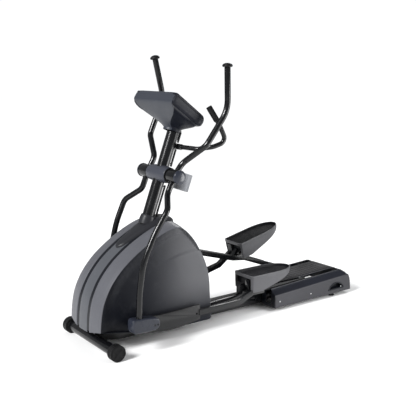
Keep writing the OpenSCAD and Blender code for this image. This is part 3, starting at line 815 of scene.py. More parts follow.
def settle(obj: bpy.types.Object, dress: Dress) -> bpy.types.Object:
    """Applies a piece's wall and bevel, marks sharp edges, coats it and hands it to the frame.

    Args:
        obj: the piece.
        dress: its finish and place.

    Returns:
        The piece.
    """
    if dress.wall:
        solid = obj.modifiers.new("wall", "SOLIDIFY")
        solid.thickness, solid.offset = dress.wall / MM, -1.0
    if dress.bevel:
        edge = obj.modifiers.new("edge", "BEVEL")
        edge.width, edge.segments = dress.bevel / MM, 2
        edge.limit_method, edge.angle_limit = "ANGLE", BEVEL_ANGLE
        edge.use_clamp_overlap = True
    if obj.modifiers:
        graph = bpy.context.evaluated_depsgraph_get()
        solid_mesh = bpy.data.meshes.new_from_object(obj.evaluated_get(graph))
        obj.modifiers.clear()
        obj.data = solid_mesh
    mesh = obj.data
    mesh.materials.clear()
    mesh.materials.append(dress.paint.coat())
    mesh.polygons.foreach_set("material_index", np.zeros(len(mesh.polygons), np.int32))
    mesh.shade_smooth()
    mesh.set_sharp_from_angle(angle=math.radians(dress.crisp))
    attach(obj, dress.body)
    if dress.replaces:
        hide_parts(*dress.replaces)
    LOG.info("%-24s %6d faces on %s", obj.name, len(mesh.polygons), dress.body)
    return obj


def in_metres(points: Any) -> np.ndarray:
    """The class sizes' millimetres as metres in the row frame."""
    return (np.asarray(points, float) - (MID_X, 0.0, 0.0)) / MM


def build(name: str, skin: Skin, dress: Dress, outward_from: Sequence[float] | None = None
          ) -> bpy.types.Object:
    """Makes a piece from a surface.

    Args:
        name: the piece's name.
        skin: its surface, in millimetres.
        dress: its finish and place.
        outward_from: for an open surface, a point that its faces look away from.

    Returns:
        The finished object, at the origin.
    """
    mesh = bpy.data.meshes.new(name)
    mesh.from_pydata(in_metres(skin.points).tolist(), [], skin.faces)
    work = bmesh.new()
    work.from_mesh(mesh)
    bmesh.ops.remove_doubles(work, verts=work.verts, dist=MERGE_M)
    bmesh.ops.dissolve_degenerate(work, dist=SLIVER_M, edges=work.edges)
    bmesh.ops.recalc_face_normals(work, faces=work.faces)
    if outward_from is not None:
        eye = Vector(in_metres(outward_from))
        vote = sum(f.normal.dot(f.calc_center_median() - eye) * f.calc_area() for f in work.faces)
        if vote < 0:
            bmesh.ops.reverse_faces(work, faces=work.faces)
    work.to_mesh(mesh)
    work.free()
    obj = bpy.data.objects.new(name, mesh)
    bpy.context.scene.collection.objects.link(obj)
    return settle(obj, dress)


def softened(node: str, dress: Dress) -> bpy.types.Object:
    """A copy of a CAD node with merged points, flat faces joined and its edges bevelled.

    Args:
        node: the node, which the copy replaces.
        dress: the copy's finish and place.

    Returns:
        The copy.
    """
    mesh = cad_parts[node].data.copy()
    work = bmesh.new()
    work.from_mesh(mesh)
    bmesh.ops.remove_doubles(work, verts=work.verts, dist=MERGE_M)
    bmesh.ops.dissolve_limit(work, angle_limit=FLAT_ANGLE, verts=work.verts, edges=work.edges)
    work.to_mesh(mesh)
    work.free()
    obj = bpy.data.objects.new(node + "_edged", mesh)
    bpy.context.scene.collection.objects.link(obj)
    return settle(obj, replace(dress, replaces=(node,)))


def coat_node(node: str, paint: Paint) -> None:
    """Gives a CAD node that stays visible its procedural material.

    Args:
        node: the node.
        paint: its finish.
    """
    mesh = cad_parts[node].data
    mesh.materials.clear()
    mesh.materials.append(paint.coat())


def mast_point(out: float) -> np.ndarray:
    """A point out behind the hub's axis, square to the mast."""
    return np.asarray(HUB_AT) + out * np.asarray(MAST_BACK)


# ----------------------------------------------------------------- sub-assemblies


@dataclass
class Chassis:
    """Spine, rear stand, mast and the front cross bar."""

    bar_half: float = 262.0
    bar_r: float = 33.0
    bar_edge: float = 5.0
    bar_z: float = 50.0
    stub_r: float = 10.0
    stub_end: float = 300.0
    stub_chamfer: tuple[float, float] = (1.5, 1.0)
    collar: tuple[float, float, float, float] = (37.0, 262.5, 267.0, 1.5)

    def make(self) -> None:
        """Turns the cross bar with its axle stubs and softens the box sections."""
        rim = fillet(self.bar_r, -self.bar_half, self.bar_half, self.bar_edge, 7)
        inward, back = self.stub_chamfer
        stub = [(self.stub_r, self.bar_half + 1), (self.stub_r, self.stub_end - back),
                (self.stub_r - inward, self.stub_end)]
        profile = [(r, -h) for r, h in stub[::-1]] + rim + stub
        build("cross_bar_tube", lathe(profile, (0, 0, self.bar_z)),
              Dress("base", "frame_black", Paint.FRAME, ("front_crossbar",)))
        for node in ("main_spine", "rear_stand"):
            softened(node, Dress("base", "frame_black", Paint.FRAME, bevel=3.0))
        for node in ("mast_cable_tube", "crank_support", "flywheel_support"):
            softened(node, Dress("base", "frame_black", Paint.FRAME, bevel=0.8))
        coat_node("mast", Paint.FRAME)
        coat_node("pivot_shaft", Paint.STEEL)
        softened("cover_screws", Dress("base", "bright_steel", Paint.STEEL, bevel=0.5))
        self.collars()

    def collars(self) -> None:
        """Adds the rubber collars between the cross bar and its wheels."""
        for side in Side:
            collar = lathe(fillet(*self.collar), (0, 0, self.bar_z), (0, side.value, 0))
            build(f"cross_bar_collar_{side.word}", collar,
                  Dress("base", "frame_black", Paint.RUBBER))


@dataclass
class TransportWheel:
    """A ribbed rubber wheel at one end of the front cross bar."""

    side: Side
    axle_z: float = 50.0
    cap: tuple = ((0.01, 317.5), (9.0, 317.5), (9.0, 320.0), (7.0, 321.3), (0.01, 321.6))

    def make(self) -> None:
        """Softens the ribbed wheel and adds its pressed cap."""
        word = self.side.word
        softened(f"{word}_transport_wheel",
                 Dress(f"{word}_wheel", "black_rubber", Paint.RUBBER, bevel=0.9))
        cap = lathe(self.cap, (0, 0, self.axle_z), (0, self.side.value, 0), 32)
        build(f"{word}_wheel_cap", cap, Dress(f"{word}_wheel", "dark_plastic", Paint.DARK))


@dataclass
class Shroud:
    """Two moulded halves, the strip between them and the boot round the mast.

    Each half is a crowned band, which ends in a rolled crease, and a side wall.
    """

    profile: tuple = (
        (-62, 62), (-65, 120), (-62, 190), (-55, 250), (-42, 310), (-22, 362), (10, 422),
        (55, 482), (110, 538), (180, 592), (255, 640), (340, 684), (420, 716), (480, 730),
        (525, 730), (565, 712), (610, 672), (655, 618), (700, 545), (735, 475), (760, 400),
        (773, 320), (776, 240), (783, 130), (785, 62))
    middle: tuple[float, float] = (370.0, 330.0)
    edge_points: int = 150
    half: float = 190.0
    shrink: float = 22.0
    seam: float = 78.0
    strip_half: float = 50.0
    strip_crown: float = 2.2
    lip: float = 9.0
    crease_r: float = 5.0
    groove: float = 2.6
    wall: float = 4.0
    valley: float = 21.0
    swell: float = 5.0
    roll: float = 2.5
    proud: float = 5.0
    bulge: float = 7.0
    spine_exit: tuple[float, float] = (700.0, 101.0)
    bottom: float = 66.0
    front_bottom: tuple[float, float, float] = (-57.0, 60.0, 119.0)
    slopes: tuple[float, float] = (-0.183, 0.238)
    slot: tuple[float, float] = (108.0, 174.0)
    slot_top: float = 580.0
    upper_crease: tuple = ((250, 586), (332, 612), (419, 643), (493, 667), (584, 670), (650, 660))
    lower_crease: tuple = ((330, 492), (417, 504), (530, 530), (622, 545), (708, 541), (760, 530))
    boot_ends: tuple[float, float] = (182.0, 588.0)
    boot_nose: float = 52.0
    boot_widening: float = 36.0
    boot_rise: tuple[float, float] = (25.0, 11.0)
    gasket_grow: float = 8.0
    gasket_rise: float = 3.4
    collar: tuple = ((50.0, -330), (49.5, -300), (47.5, -285), (45.5, -276), (43.0, -272),
                     (39.2, -271.5))

    def outline(self, count: int) -> np.ndarray:
        """The profile as a smooth curve."""
        return spline(self.profile, count)

    def upper_outline(self) -> np.ndarray:
        """The profile less its lowest rear stretch, where the spine leaves the shroud."""
        edge = self.outline(self.edge_points)
        return edge[(edge[:, 0] < self.spine_exit[0]) | (edge[:, 1] > self.spine_exit[1])]

    def lower_edge(self, x: Any, y: Any) -> Any:
        """Height of the mouldings' lower edge.

        Args:
            x: places along the machine.
            y: places across it.

        Returns:
            A plane that falls to the rear and climbs outward, never under the bottom.
        """
        fx, fy, fz = self.front_bottom
        climb = self.slopes[1] * (np.maximum(y, fy) - fy)
        return np.maximum(self.bottom, fz + self.slopes[0] * (x - fx) + climb)

    def trimmed(self, p: np.ndarray, y: Any) -> tuple[np.ndarray, np.ndarray]:
        """Cuts points off at the lower edge.

        Args:
            p: (..., 2) points in x and z.
            y: their places across the machine.

        Returns:
            The points, lifted to the lower edge where they fell below it, and which did not.
        """
        floor = self.lower_edge(p[..., 0], y)
        above = p[..., 1] > floor + 0.05
        return np.stack([p[..., 0], np.maximum(p[..., 1], floor)], -1), above

    def shrunk(self, p: np.ndarray, d: Any) -> np.ndarray:
        """Points moved toward the middle by d."""
        v = p - np.asarray(self.middle)
        return p - v * (np.asarray(d)[..., None] / np.linalg.norm(v, axis=-1, keepdims=True))

    def carried(self, edge: np.ndarray, y: np.ndarray, d: np.ndarray,
                low_y: Any) -> tuple[np.ndarray, np.ndarray]:
        """The profile carried across the machine and cut off at the lower edge.

        Args:
            edge: (n, 2) profile points.
            y: (m,) places across.
            d: (m,) how far the profile is drawn in at each place.
            low_y: the places across at which the lower edge is read.

        Returns:
            (n, m, 3) points, and which of them stand above the lower edge.
        """
        p = self.shrunk(edge[:, None].repeat(len(y), 1), d[None].repeat(len(edge), 0))
        p, above = self.trimmed(p, low_y)
        return np.stack([p[..., 0], np.broadcast_to(y, p.shape[:2]), p[..., 1]], -1), above

    def wall_y(self, p: np.ndarray, front: np.ndarray, rear: np.ndarray) -> np.ndarray:
        """Distance of the side wall from the centre plane.

        Args:
            p: (..., 2) points in x and z.
            front: distance of each from the front edge's crease.
            rear: distance of each from the rear edge.

        Returns:
            half - valley behind the front crease + swell to the rear - roll-off at the rear
            edge + a proud panel above the upper crease + a bulge below the lower one.
        """
        x, z = p[..., 0], p[..., 1]
        valley = self.valley * smoothstep(front, 0, 85) * (1 - smoothstep(front, 85, 400))
        swell = self.swell * smoothstep(front, 190, 430)
        roll = self.roll * (1 - smoothstep(rear, 0, 30)) ** 1.6
        up = z - np.interp(x, *np.asarray(self.upper_crease, float).T)
        low = z - np.interp(x, *np.asarray(self.lower_crease, float).T)
        proud = self.proud * smoothstep(up, -3, 4) * smoothstep(x, 290, 400)
        bulge = self.bulge * smoothstep(low, 5, -3) * (1 - smoothstep(-low, 10, 190))
        bulge = bulge * smoothstep(x, 390, 520)
        return self.half - valley + swell - roll * smoothstep(front, 0, 60) + proud + bulge

    def band_section(self) -> tuple[np.ndarray, np.ndarray, list[int]]:
        """A band's section, from the lip at the seam to the crease.

        Returns:
            Places across, how far the profile is drawn in at each, which is shrink t^1.25 as t
            goes from the seam to the crease, then a quarter circle; and the slot's two columns.
        """
        t = np.linspace(0, 1, 15)
        y = np.concatenate([[self.seam, self.seam + 0.3, self.seam + 2.2],
                            self.seam + 4 + (self.half - 9 - self.seam) * t])
        d = np.concatenate([[self.lip, self.lip / 2, 1.0], self.shrink * 0.86 * t ** 1.25])
        slot = [int(np.argmin(abs(y - s))) for s in self.slot]
        y[slot] = self.slot
        q = np.linspace(0, math.pi / 2, 5)[1:]
        y = np.concatenate([y, self.half - self.crease_r + self.crease_r * np.sin(q)])
        d = np.concatenate([d, self.shrink + 2 - self.crease_r * np.cos(q)])
        return y, d, slot

    def band(self) -> tuple[Skin, np.ndarray]:
        """The band of the half on the positive side, with the roller arm's slot left out.

        Returns:
            The surface, and the (n, 2) points of its outer rim, which the side wall meets.
        """
        edge = self.outline(self.edge_points)
        y, d, slot = self.band_section()
        grid, above = self.carried(edge, y, d, y[None])
        keep = touched(above)
        rear = (edge[:-1, 0] > 640) & (edge[:-1, 1] < self.slot_top)
        keep[np.ix_(rear, np.arange(slot[0], slot[1]))] = False
        held = np.where(above[:, -1])[0]
        return lattice(grid, keep=keep), grid[held[0] - 1:held[-1] + 2, -1][:, (0, 2)]

    def panel(self, rim: np.ndarray) -> Skin:
        """The side wall on the positive side: rings that shrink from its edge to the middle.

        Args:
            rim: the band's outer rim.

        Returns:
            The surface, whose distance from the centre plane is wall_y.
        """
        floor = np.linspace(rim[-1], rim[0], 60)[1:-1]
        floor[:, 1] = self.lower_edge(floor[:, 0], self.half)
        loop = np.vstack([rim, floor])
        rho = np.concatenate([[1.0, 0.995], np.linspace(0.985, 0.0, 64)])[:, None, None]
        p = np.asarray(self.middle) + (loop - np.asarray(self.middle)) * rho
        gap = np.linalg.norm(p[:, :, None] - rim[None, None, ::3], axis=-1)
        nose = rim[::3, 0] < 500
        wall = self.wall_y(p, gap[..., nose].min(-1), gap[..., ~nose].min(-1))
        wall[0] = self.half
        return lattice(np.stack([p[..., 0], wall, p[..., 1]], -1), close_v=True)

    def strip(self) -> Skin:
        """The strip between the halves.

        Returns:
            The profile carried across, drawn in by crown (y / half)^4, with a lip at each edge.
        """
        y = self.strip_half * np.sin(np.linspace(-math.pi / 2, math.pi / 2, 17))
        d = self.strip_crown * (y / self.strip_half) ** 4
        y = np.concatenate([[-self.strip_half], y, [self.strip_half]])
        d = np.concatenate([[self.lip], d, [self.lip]])
        grid, above = self.carried(self.upper_outline(), y, d, 0.0)
        return lattice(grid, keep=touched(above))

    def seal(self) -> Skin:
        """A dark sheet across the floor of the groove between the strip and a band: painted shade in
        the open groove.

        Returns:
            The profile carried across the groove, drawn in by the groove's depth.
        """
        y = np.array([self.strip_half + 0.4, self.seam - 0.4])
        grid, above = self.carried(self.upper_outline(), y, np.full(2, self.groove), self.seam)
        return lattice(grid, keep=above[:-1, :-1] & above[1:, :-1])

    def boot(self, grow: float = 0.0) -> Skin:
        """The long cap from the strip's brow round the mast's foot, or the gasket under its rim.

        Args:
            grow: 0 for the cap; for the gasket, how far it reaches past the cap.

        Returns:
            At t along it, from 0 to 1, and v across it, from -1 to 1, the profile's point plus
            the normal times h(t) (1 - |v|^3.2) less a turned-down edge, at y = w(t) v, where w
            is a teardrop's half-width.
        """
        edge = self.outline(400)
        front, rear = self.boot_ends
        run = np.where((edge[:, 0] > front - grow) & (edge[:, 0] < rear) & (edge[:, 1] > 560))[0]
        t = (1 - np.cos(np.linspace(0, math.pi, 70))) / 2
        place = np.interp(t, [0, 1], [run[0], run[-1]])
        base = np.stack([np.interp(place, np.arange(400), edge[:, k]) for k in (0, 1)], 1)
        along = unit(np.gradient(base, axis=0))
        normal = np.stack([-along[:, 1], along[:, 0]], 1)
        w = self.boot_nose + grow + self.boot_widening * smoothstep(t, 0.05, 0.62)
        for fall in ((0.12 - t) / 0.12, (t - 0.72) / 0.28):
            w = w * np.sqrt(np.clip(1 - fall.clip(0, 1) ** 2, 0, 1))
        low, more = self.boot_rise
        h = (low + more * smoothstep(t, 0.1, 0.7)) * (w / w.max()) ** 0.3
        if grow:
            h = self.gasket_rise * np.sqrt(w / w.max())
        v = np.sin(np.linspace(-math.pi / 2, math.pi / 2, 29))
        rise = h[:, None] * (1 - np.abs(v) ** 3.2)[None] - 5 - 9 * (np.abs(v) ** 6)[None]
        xz = base[:, None] + normal[:, None] * rise[..., None]
        y = w[:, None] * v[None]
        return lattice(np.stack([xz[..., 0], y, xz[..., 1]], -1))

    def make(self) -> None:
        """Builds and dresses the halves, the painted-shade sheets in the grooves, strip, boot, gasket
        and the mast's collar.
        """
        inside = (self.middle[0], 0.0, self.middle[1])
        under_boot = (430.0, 0.0, 400.0)
        band, rim = self.band()
        for side in Side:
            build(f"shroud_band_{side.word}", band.flipped(side.value), Dress(
                "base", "shroud_grey", Paint.BAND, (f"shroud_{side.word}",), self.wall), inside)
            # A dark sheet in each groove: painted shade.
            build(f"shroud_seal_{side.word}", self.seal().flipped(side.value), Dress(
                "base", "dark_plastic", Paint.DARK, wall=1.5), inside)
            build(f"shroud_wall_{side.word}", self.panel(rim).flipped(side.value), Dress(
                "base", "shroud_grey", Paint.SHROUD, wall=self.wall), inside)
        build("shroud_strip", self.strip(), Dress(
            "base", "strip_grey", Paint.STRIP, ("shroud_centre_strip",), self.wall), inside)
        build("mast_boot_cap", self.boot(), Dress(
            "base", "strip_grey", Paint.BOOT, ("mast_boot",), 3.0), under_boot)
        build("mast_boot_gasket", self.boot(self.gasket_grow), Dress(
            "base", "dark_plastic", Paint.DARK, wall=1.0), under_boot)
        build("mast_collar", lathe(self.collar, HUB_AT, MAST_AXIS),
              Dress("base", "strip_grey", Paint.BOOT))


@dataclass
class Hub:
    """Barrel cover round the handlebars' pivot."""

    half: float = 104.0
    middle_r: float = 55.0
    end_r: float = 47.5
    ring: tuple = ((38.0, 104.2), (46.5, 104.2), (47.6, 105.2), (47.6, 107.2), (46.0, 108.4),
                   (38.0, 108.6))

    def make(self) -> None:
        """Turns the barrel and its dark end rings: r = middle - (middle - end) |y / half|^2.4."""
        y = np.linspace(-self.half + 3, self.half - 3, 41)
        r = self.middle_r - (self.middle_r - self.end_r) * np.abs(y / self.half) ** 2.4
        ends = [(self.end_r - 3.5, self.half), (self.end_r - 1, self.half - 0.8)]
        profile = [(a, -b) for a, b in ends] + list(zip(r, y)) + ends[::-1]
        build("hub_barrel", lathe(profile, HUB_AT, sides=72),
              Dress("base", "shroud_grey", Paint.HUB, ("hub_cover",)))
        for side in Side:
            build(f"hub_ring_{side.word}", lathe(self.ring, HUB_AT, (0, side.value, 0)),
                  Dress("base", "dark_plastic", Paint.RUBBER))


@dataclass
class Console:
    """Leaning console: a tapering shell, a dark bezel, a window and a keypad."""

    origin: tuple[float, float] = (485.0, 1533.0)
    pitch: float = 34.7
    neck: tuple[float, float] = (597.0, 1300.0)
    neck_r: float = 53.0
    front_half: float = 227.0
    rear_half: float = 192.0
    length: float = 306.0
    centre_u: float = 145.0
    corners: tuple[float, float, float, float] = (12.0, 52.0, 52.0, 12.0)
    rounding: tuple[float, float, float] = (26.0, -30.0, 36.5)
    shell_rings: tuple = ((7, -9.6), (2, -10.5), (0, -13), (0, -28), (0, -44), (1.5, -52),
                          (6, -60), (14, -66))
    bezel_rings: tuple = ((4, -9.8), (0.6, -9.4), (0.2, -4), (0.8, 1), (2.4, 3.6), (5, 4.4),
                          (11, 4.4), (13, 3.2), (13.6, 0.9))
    brow_half: float = 224.0
    brow_size: tuple[float, float] = (13.0, 17.0)

    def at(self, plan: np.ndarray, w: float) -> np.ndarray:
        """Points over the console's face, in the machine's axes.

        Args:
            plan: (n, 2) points: u down the face from its top edge, and y.
            w: their height over the face.

        Returns:
            (n, 3) points.
        """
        a = math.radians(self.pitch)
        return np.stack([self.origin[0] + plan[:, 0] * math.cos(a) + w * math.sin(a),
                         plan[:, 1],
                         self.origin[1] - plan[:, 0] * math.sin(a) + w * math.cos(a)], 1)

    def plan(self, count: int = 160) -> np.ndarray:
        """Rounded outline of the face.

        Args:
            count: how many points to return.

        Returns:
            (count, 2) points at equal angles about the face's middle.
        """
        corners = np.array([(0, -self.front_half), (self.length, -self.rear_half),
                            (self.length, self.rear_half), (0, self.front_half)], float)
        start = (corners[0] + corners[3]) / 2
        ring = np.vstack([[start], corners, [start]])
        path = rounded_path(np.pad(ring, ((0, 0), (0, 1))), self.corners, 5)[:-1, :2]
        return self.by_angle(path, count)

    def by_angle(self, path: np.ndarray, count: int) -> np.ndarray:
        """A closed path resampled at equal angles about the face's middle.

        Args:
            path: (n, 2) points.
            count: how many points to return.

        Returns:
            (count, 2) points.
        """
        middle = (self.centre_u, 0.0)
        order = np.argsort(np.arctan2(*(path - middle).T[::-1]))
        dense = np.linspace(0, 1, 12, endpoint=False)[None, :, None]
        q = np.vstack([path[order], path[order[:1]]])
        fine = (q[:-1, None] * (1 - dense) + q[1:, None] * dense).reshape(-1, 2) - middle
        angle, reach = np.arctan2(fine[:, 1], fine[:, 0]), np.linalg.norm(fine, axis=1)
        want = np.linspace(-math.pi, math.pi, count, endpoint=False)
        r = np.interp(want, angle, reach, period=2 * math.pi)
        return np.stack([self.centre_u + r * np.cos(want), r * np.sin(want)], 1)

    def round_end(self, plan: np.ndarray, d: float, w: float) -> np.ndarray:
        """The plan drawn in, its rear end rounded from top to bottom.

        Args:
            plan: (n, 2) outline of the face.
            d: how far it is drawn in.
            w: its height over the face.

        Returns:
            (n, 3) points. The rear moves in by depth (1 - sqrt(1 - q^2)), with q the height's
            distance from the middle over its reach, faded in from u = 150 to the rear edge.
        """
        depth, middle, reach = self.rounding
        p = inset(plan, d)
        q = min(1.0, abs(w - middle) / reach)
        p[:, 0] -= depth * (1 - math.sqrt(1 - q * q)) * smoothstep(p[:, 0], 150.0, self.length)
        return self.at(p, w)

    def shell(self, front: bool) -> Skin:
        """Rings from the face's edge down to the neck.

        Args:
            front: whether to return the front face, or else all the rest.

        Returns:
            The surface. The first rings follow the outline; the rest mix the last of them with
            a circle round the mast, by shares t^1.15, smoothstep(t) and t^1.05 in x, y and z.
        """
        plan = self.plan()
        angle = np.arctan2(plan[:, 1], plan[:, 0] - self.centre_u)
        circle = (np.array([self.neck[0], 0, self.neck[1]])
                  + self.neck_r * (np.cos(angle)[:, None] * np.array(MAST_BACK)
                                   + np.sin(angle)[:, None] * np.array([0, 1.0, 0])))
        rings = [self.round_end(plan, d, w) for d, w in self.shell_rings]
        last = rings[-1]
        t = np.linspace(0, 1, 20)[1:, None, None]
        share = np.concatenate([t ** 1.15, smoothstep(t, 0.1, 1.0), t ** 1.05], axis=-1)
        loft = last + (circle - last) * share
        tail = circle - np.array(MAST_AXIS) * np.array([6, 14])[:, None, None]
        grid = np.concatenate([np.stack(rings), loft, tail])
        ahead = plan[:, 0] < 4.0
        column = ahead & np.roll(ahead, -1)
        keep = np.broadcast_to(column if front else ~column, (len(grid) - 1, len(plan)))
        return lattice(grid, close_v=True, keep=keep)

    def bezel(self) -> Skin:
        """The face's surround: a raised rim, with a sunken field for the window and keypad."""
        plan = self.plan()
        return stacked(np.stack([self.round_end(plan, d, w) for d, w in self.bezel_rings]))

    def brow(self) -> Skin:
        """Light cap along the front edge.

        Returns:
            A rounded section u = a cos^0.6 q, w = b sin^0.6 q carried across, smaller at the ends.
        """
        q = np.linspace(0, 2 * math.pi, 28, endpoint=False)
        u, w = (half * np.sign(f) * np.abs(f) ** 0.6
                for half, f in zip(self.brow_size, (np.cos(q), np.sin(q))))
        y = np.linspace(-1, 1, 41)
        size = np.sqrt(np.clip(1 - np.abs(y) ** 16, 0.04, 1))
        tilt = math.radians(self.pitch)
        rings = [self.at(np.stack([12 + 4 * abs(s) ** 10 + u * k,
                                   np.full(28, s * self.brow_half)], 1), 0)
                 + np.outer(w * k - 9, (math.sin(tilt), 0, math.cos(tilt)))
                 for s, k in zip(y, size)]
        return stacked(np.stack(rings))

    def make(self) -> None:
        """Builds the shell, brow and surround, softens the keypad and coats the window."""
        inside = (560.0, 0.0, 1430.0)
        build("console_front", self.shell(True), Dress(
            "base", "strip_grey", Paint.CONSOLE, ("console_shell",), 3.0), inside)
        build("console_back", self.shell(False), Dress(
            "base", "strip_grey", Paint.CONSOLE_SIDE, wall=3.0), inside)
        build("console_brow", self.brow(), Dress("base", "strip_grey", Paint.CONSOLE))
        build("console_surround", self.bezel(), Dress(
            "base", "dark_plastic", Paint.CONSOLE_SIDE, ("console_bezel",)))
        softened("console_keypad", Dress("base", "dark_plastic", Paint.DARK, bevel=0.4))
        coat_node("console_display", Paint.WINDOW)


@dataclass
class FixedHandles:
    """The still handles in front of the user, with their grips and bracket."""

    path: tuple = ((640, -30, 1186), (690, -150, 1180), (755, -225, 1196), (838, -250, 1226),
                   (792, -240, 1330), (738, -205, 1438))
    bends: tuple[float, ...] = (70.0, 60.0, 40.0, 120.0)
    tube_r: float = 15.0
    rib_r: tuple[float, float] = (18.3, 0.7)
    rib_pitch: float = 7.0
    block: tuple = ((552, 1168), (640, 1170), (640, 1204), (568, 1206))
    block_bends: tuple[float, ...] = (6.0, 12.0, 12.0, 6.0)

    def make(self) -> None:
        """Sweeps the tubes, turns the ribbed grips and stands the bracket on the mast."""
        for side in Side:
            flip = np.array((1, -side.value, 1))
            tube = sweep(rounded_path(np.asarray(self.path, float) * flip, self.bends),
                         self.tube_r)
            build(f"fixed_handle_tube_{side.word}", tube, Dress(
                "base", "frame_black", Paint.FRAME,
                ("fixed_handle",) if side is Side.LEFT else ()))
            tip, back = (np.asarray(self.path[k], float) * flip for k in (5, 4))
            h = np.linspace(-93, 2, 150)
            rib = self.rib_r[0] + self.rib_r[1] * np.abs(np.sin(h * math.pi / self.rib_pitch)) ** 0.6
            profile = [(15.4, -95), (17.6, -94.6)] + list(zip(rib, h)) + [
                (18.4, 4), (16.5, 5.6), (13.0, 6.0)]
            build(f"fixed_grip_sleeve_{side.word}", lathe(profile, tip, unit(tip - back), 40),
                  Dress("base", "black_rubber", Paint.RUBBER, (f"{side.word}_fixed_grip",)))
        build("fixed_handle_sleeve", lathe(fillet(19, -45, 45, 2.0), (640, 0, 1186)),
              Dress("base", "frame_black", Paint.FRAME))
        plan = rounded_plate(self.block, self.block_bends, 12)
        build("fixed_handle_bracket", cushioned_slab(plan, -22, 22, 3, upright),
              Dress("base", "frame_black", Paint.FRAME))


@dataclass
class BottleCup:
    """Sheet cradle behind the hub, with a rolled rim."""

    out: float = 180.0
    radius: float = 52.0
    low: float = -62.0
    high: float = 50.0

    def make(self) -> None:
        """Turns the cup with its 3 mm wall and hangs it on a bracket."""
        r, a, b = self.radius, self.low, self.high
        profile = [(0.01, a), (r - 5, a), (r - 1.5, a + 1.5), (r, a + 5), (r, b - 2.5),
                   (r + 0.8, b - 0.9), (r - 1.5, b), (r - 3.6, b - 1.2), (r - 3, b - 5),
                   (r - 3, a + 9), (r - 8, a + 4), (0.01, a + 4)]
        build("bottle_cup", lathe(profile, mast_point(self.out), MAST_AXIS, 72), Dress(
            "base", "housing_grey", Paint.CUP, ("bottle_holder",)))
        near, far, tall = 50, self.out - r + 2, 24
        arm = rounded_plate([(near, -tall), (far, -tall), (far, tall), (near, tall)], (4.0,) * 4, 15)
        build("bottle_cup_arm", cushioned_slab(arm, -14, 14, 3, self.leaning),
              Dress("base", "housing_grey", Paint.DARK))

    def leaning(self, p: np.ndarray, y: float) -> np.ndarray:
        """Outline points (behind the hub, up the mast) at y, as (n, 3) points."""
        return (np.array(HUB_AT) + p[:, :1] * np.array(MAST_BACK)
                + p[:, 1:] * np.array(MAST_AXIS) + np.array((0, y, 0)))


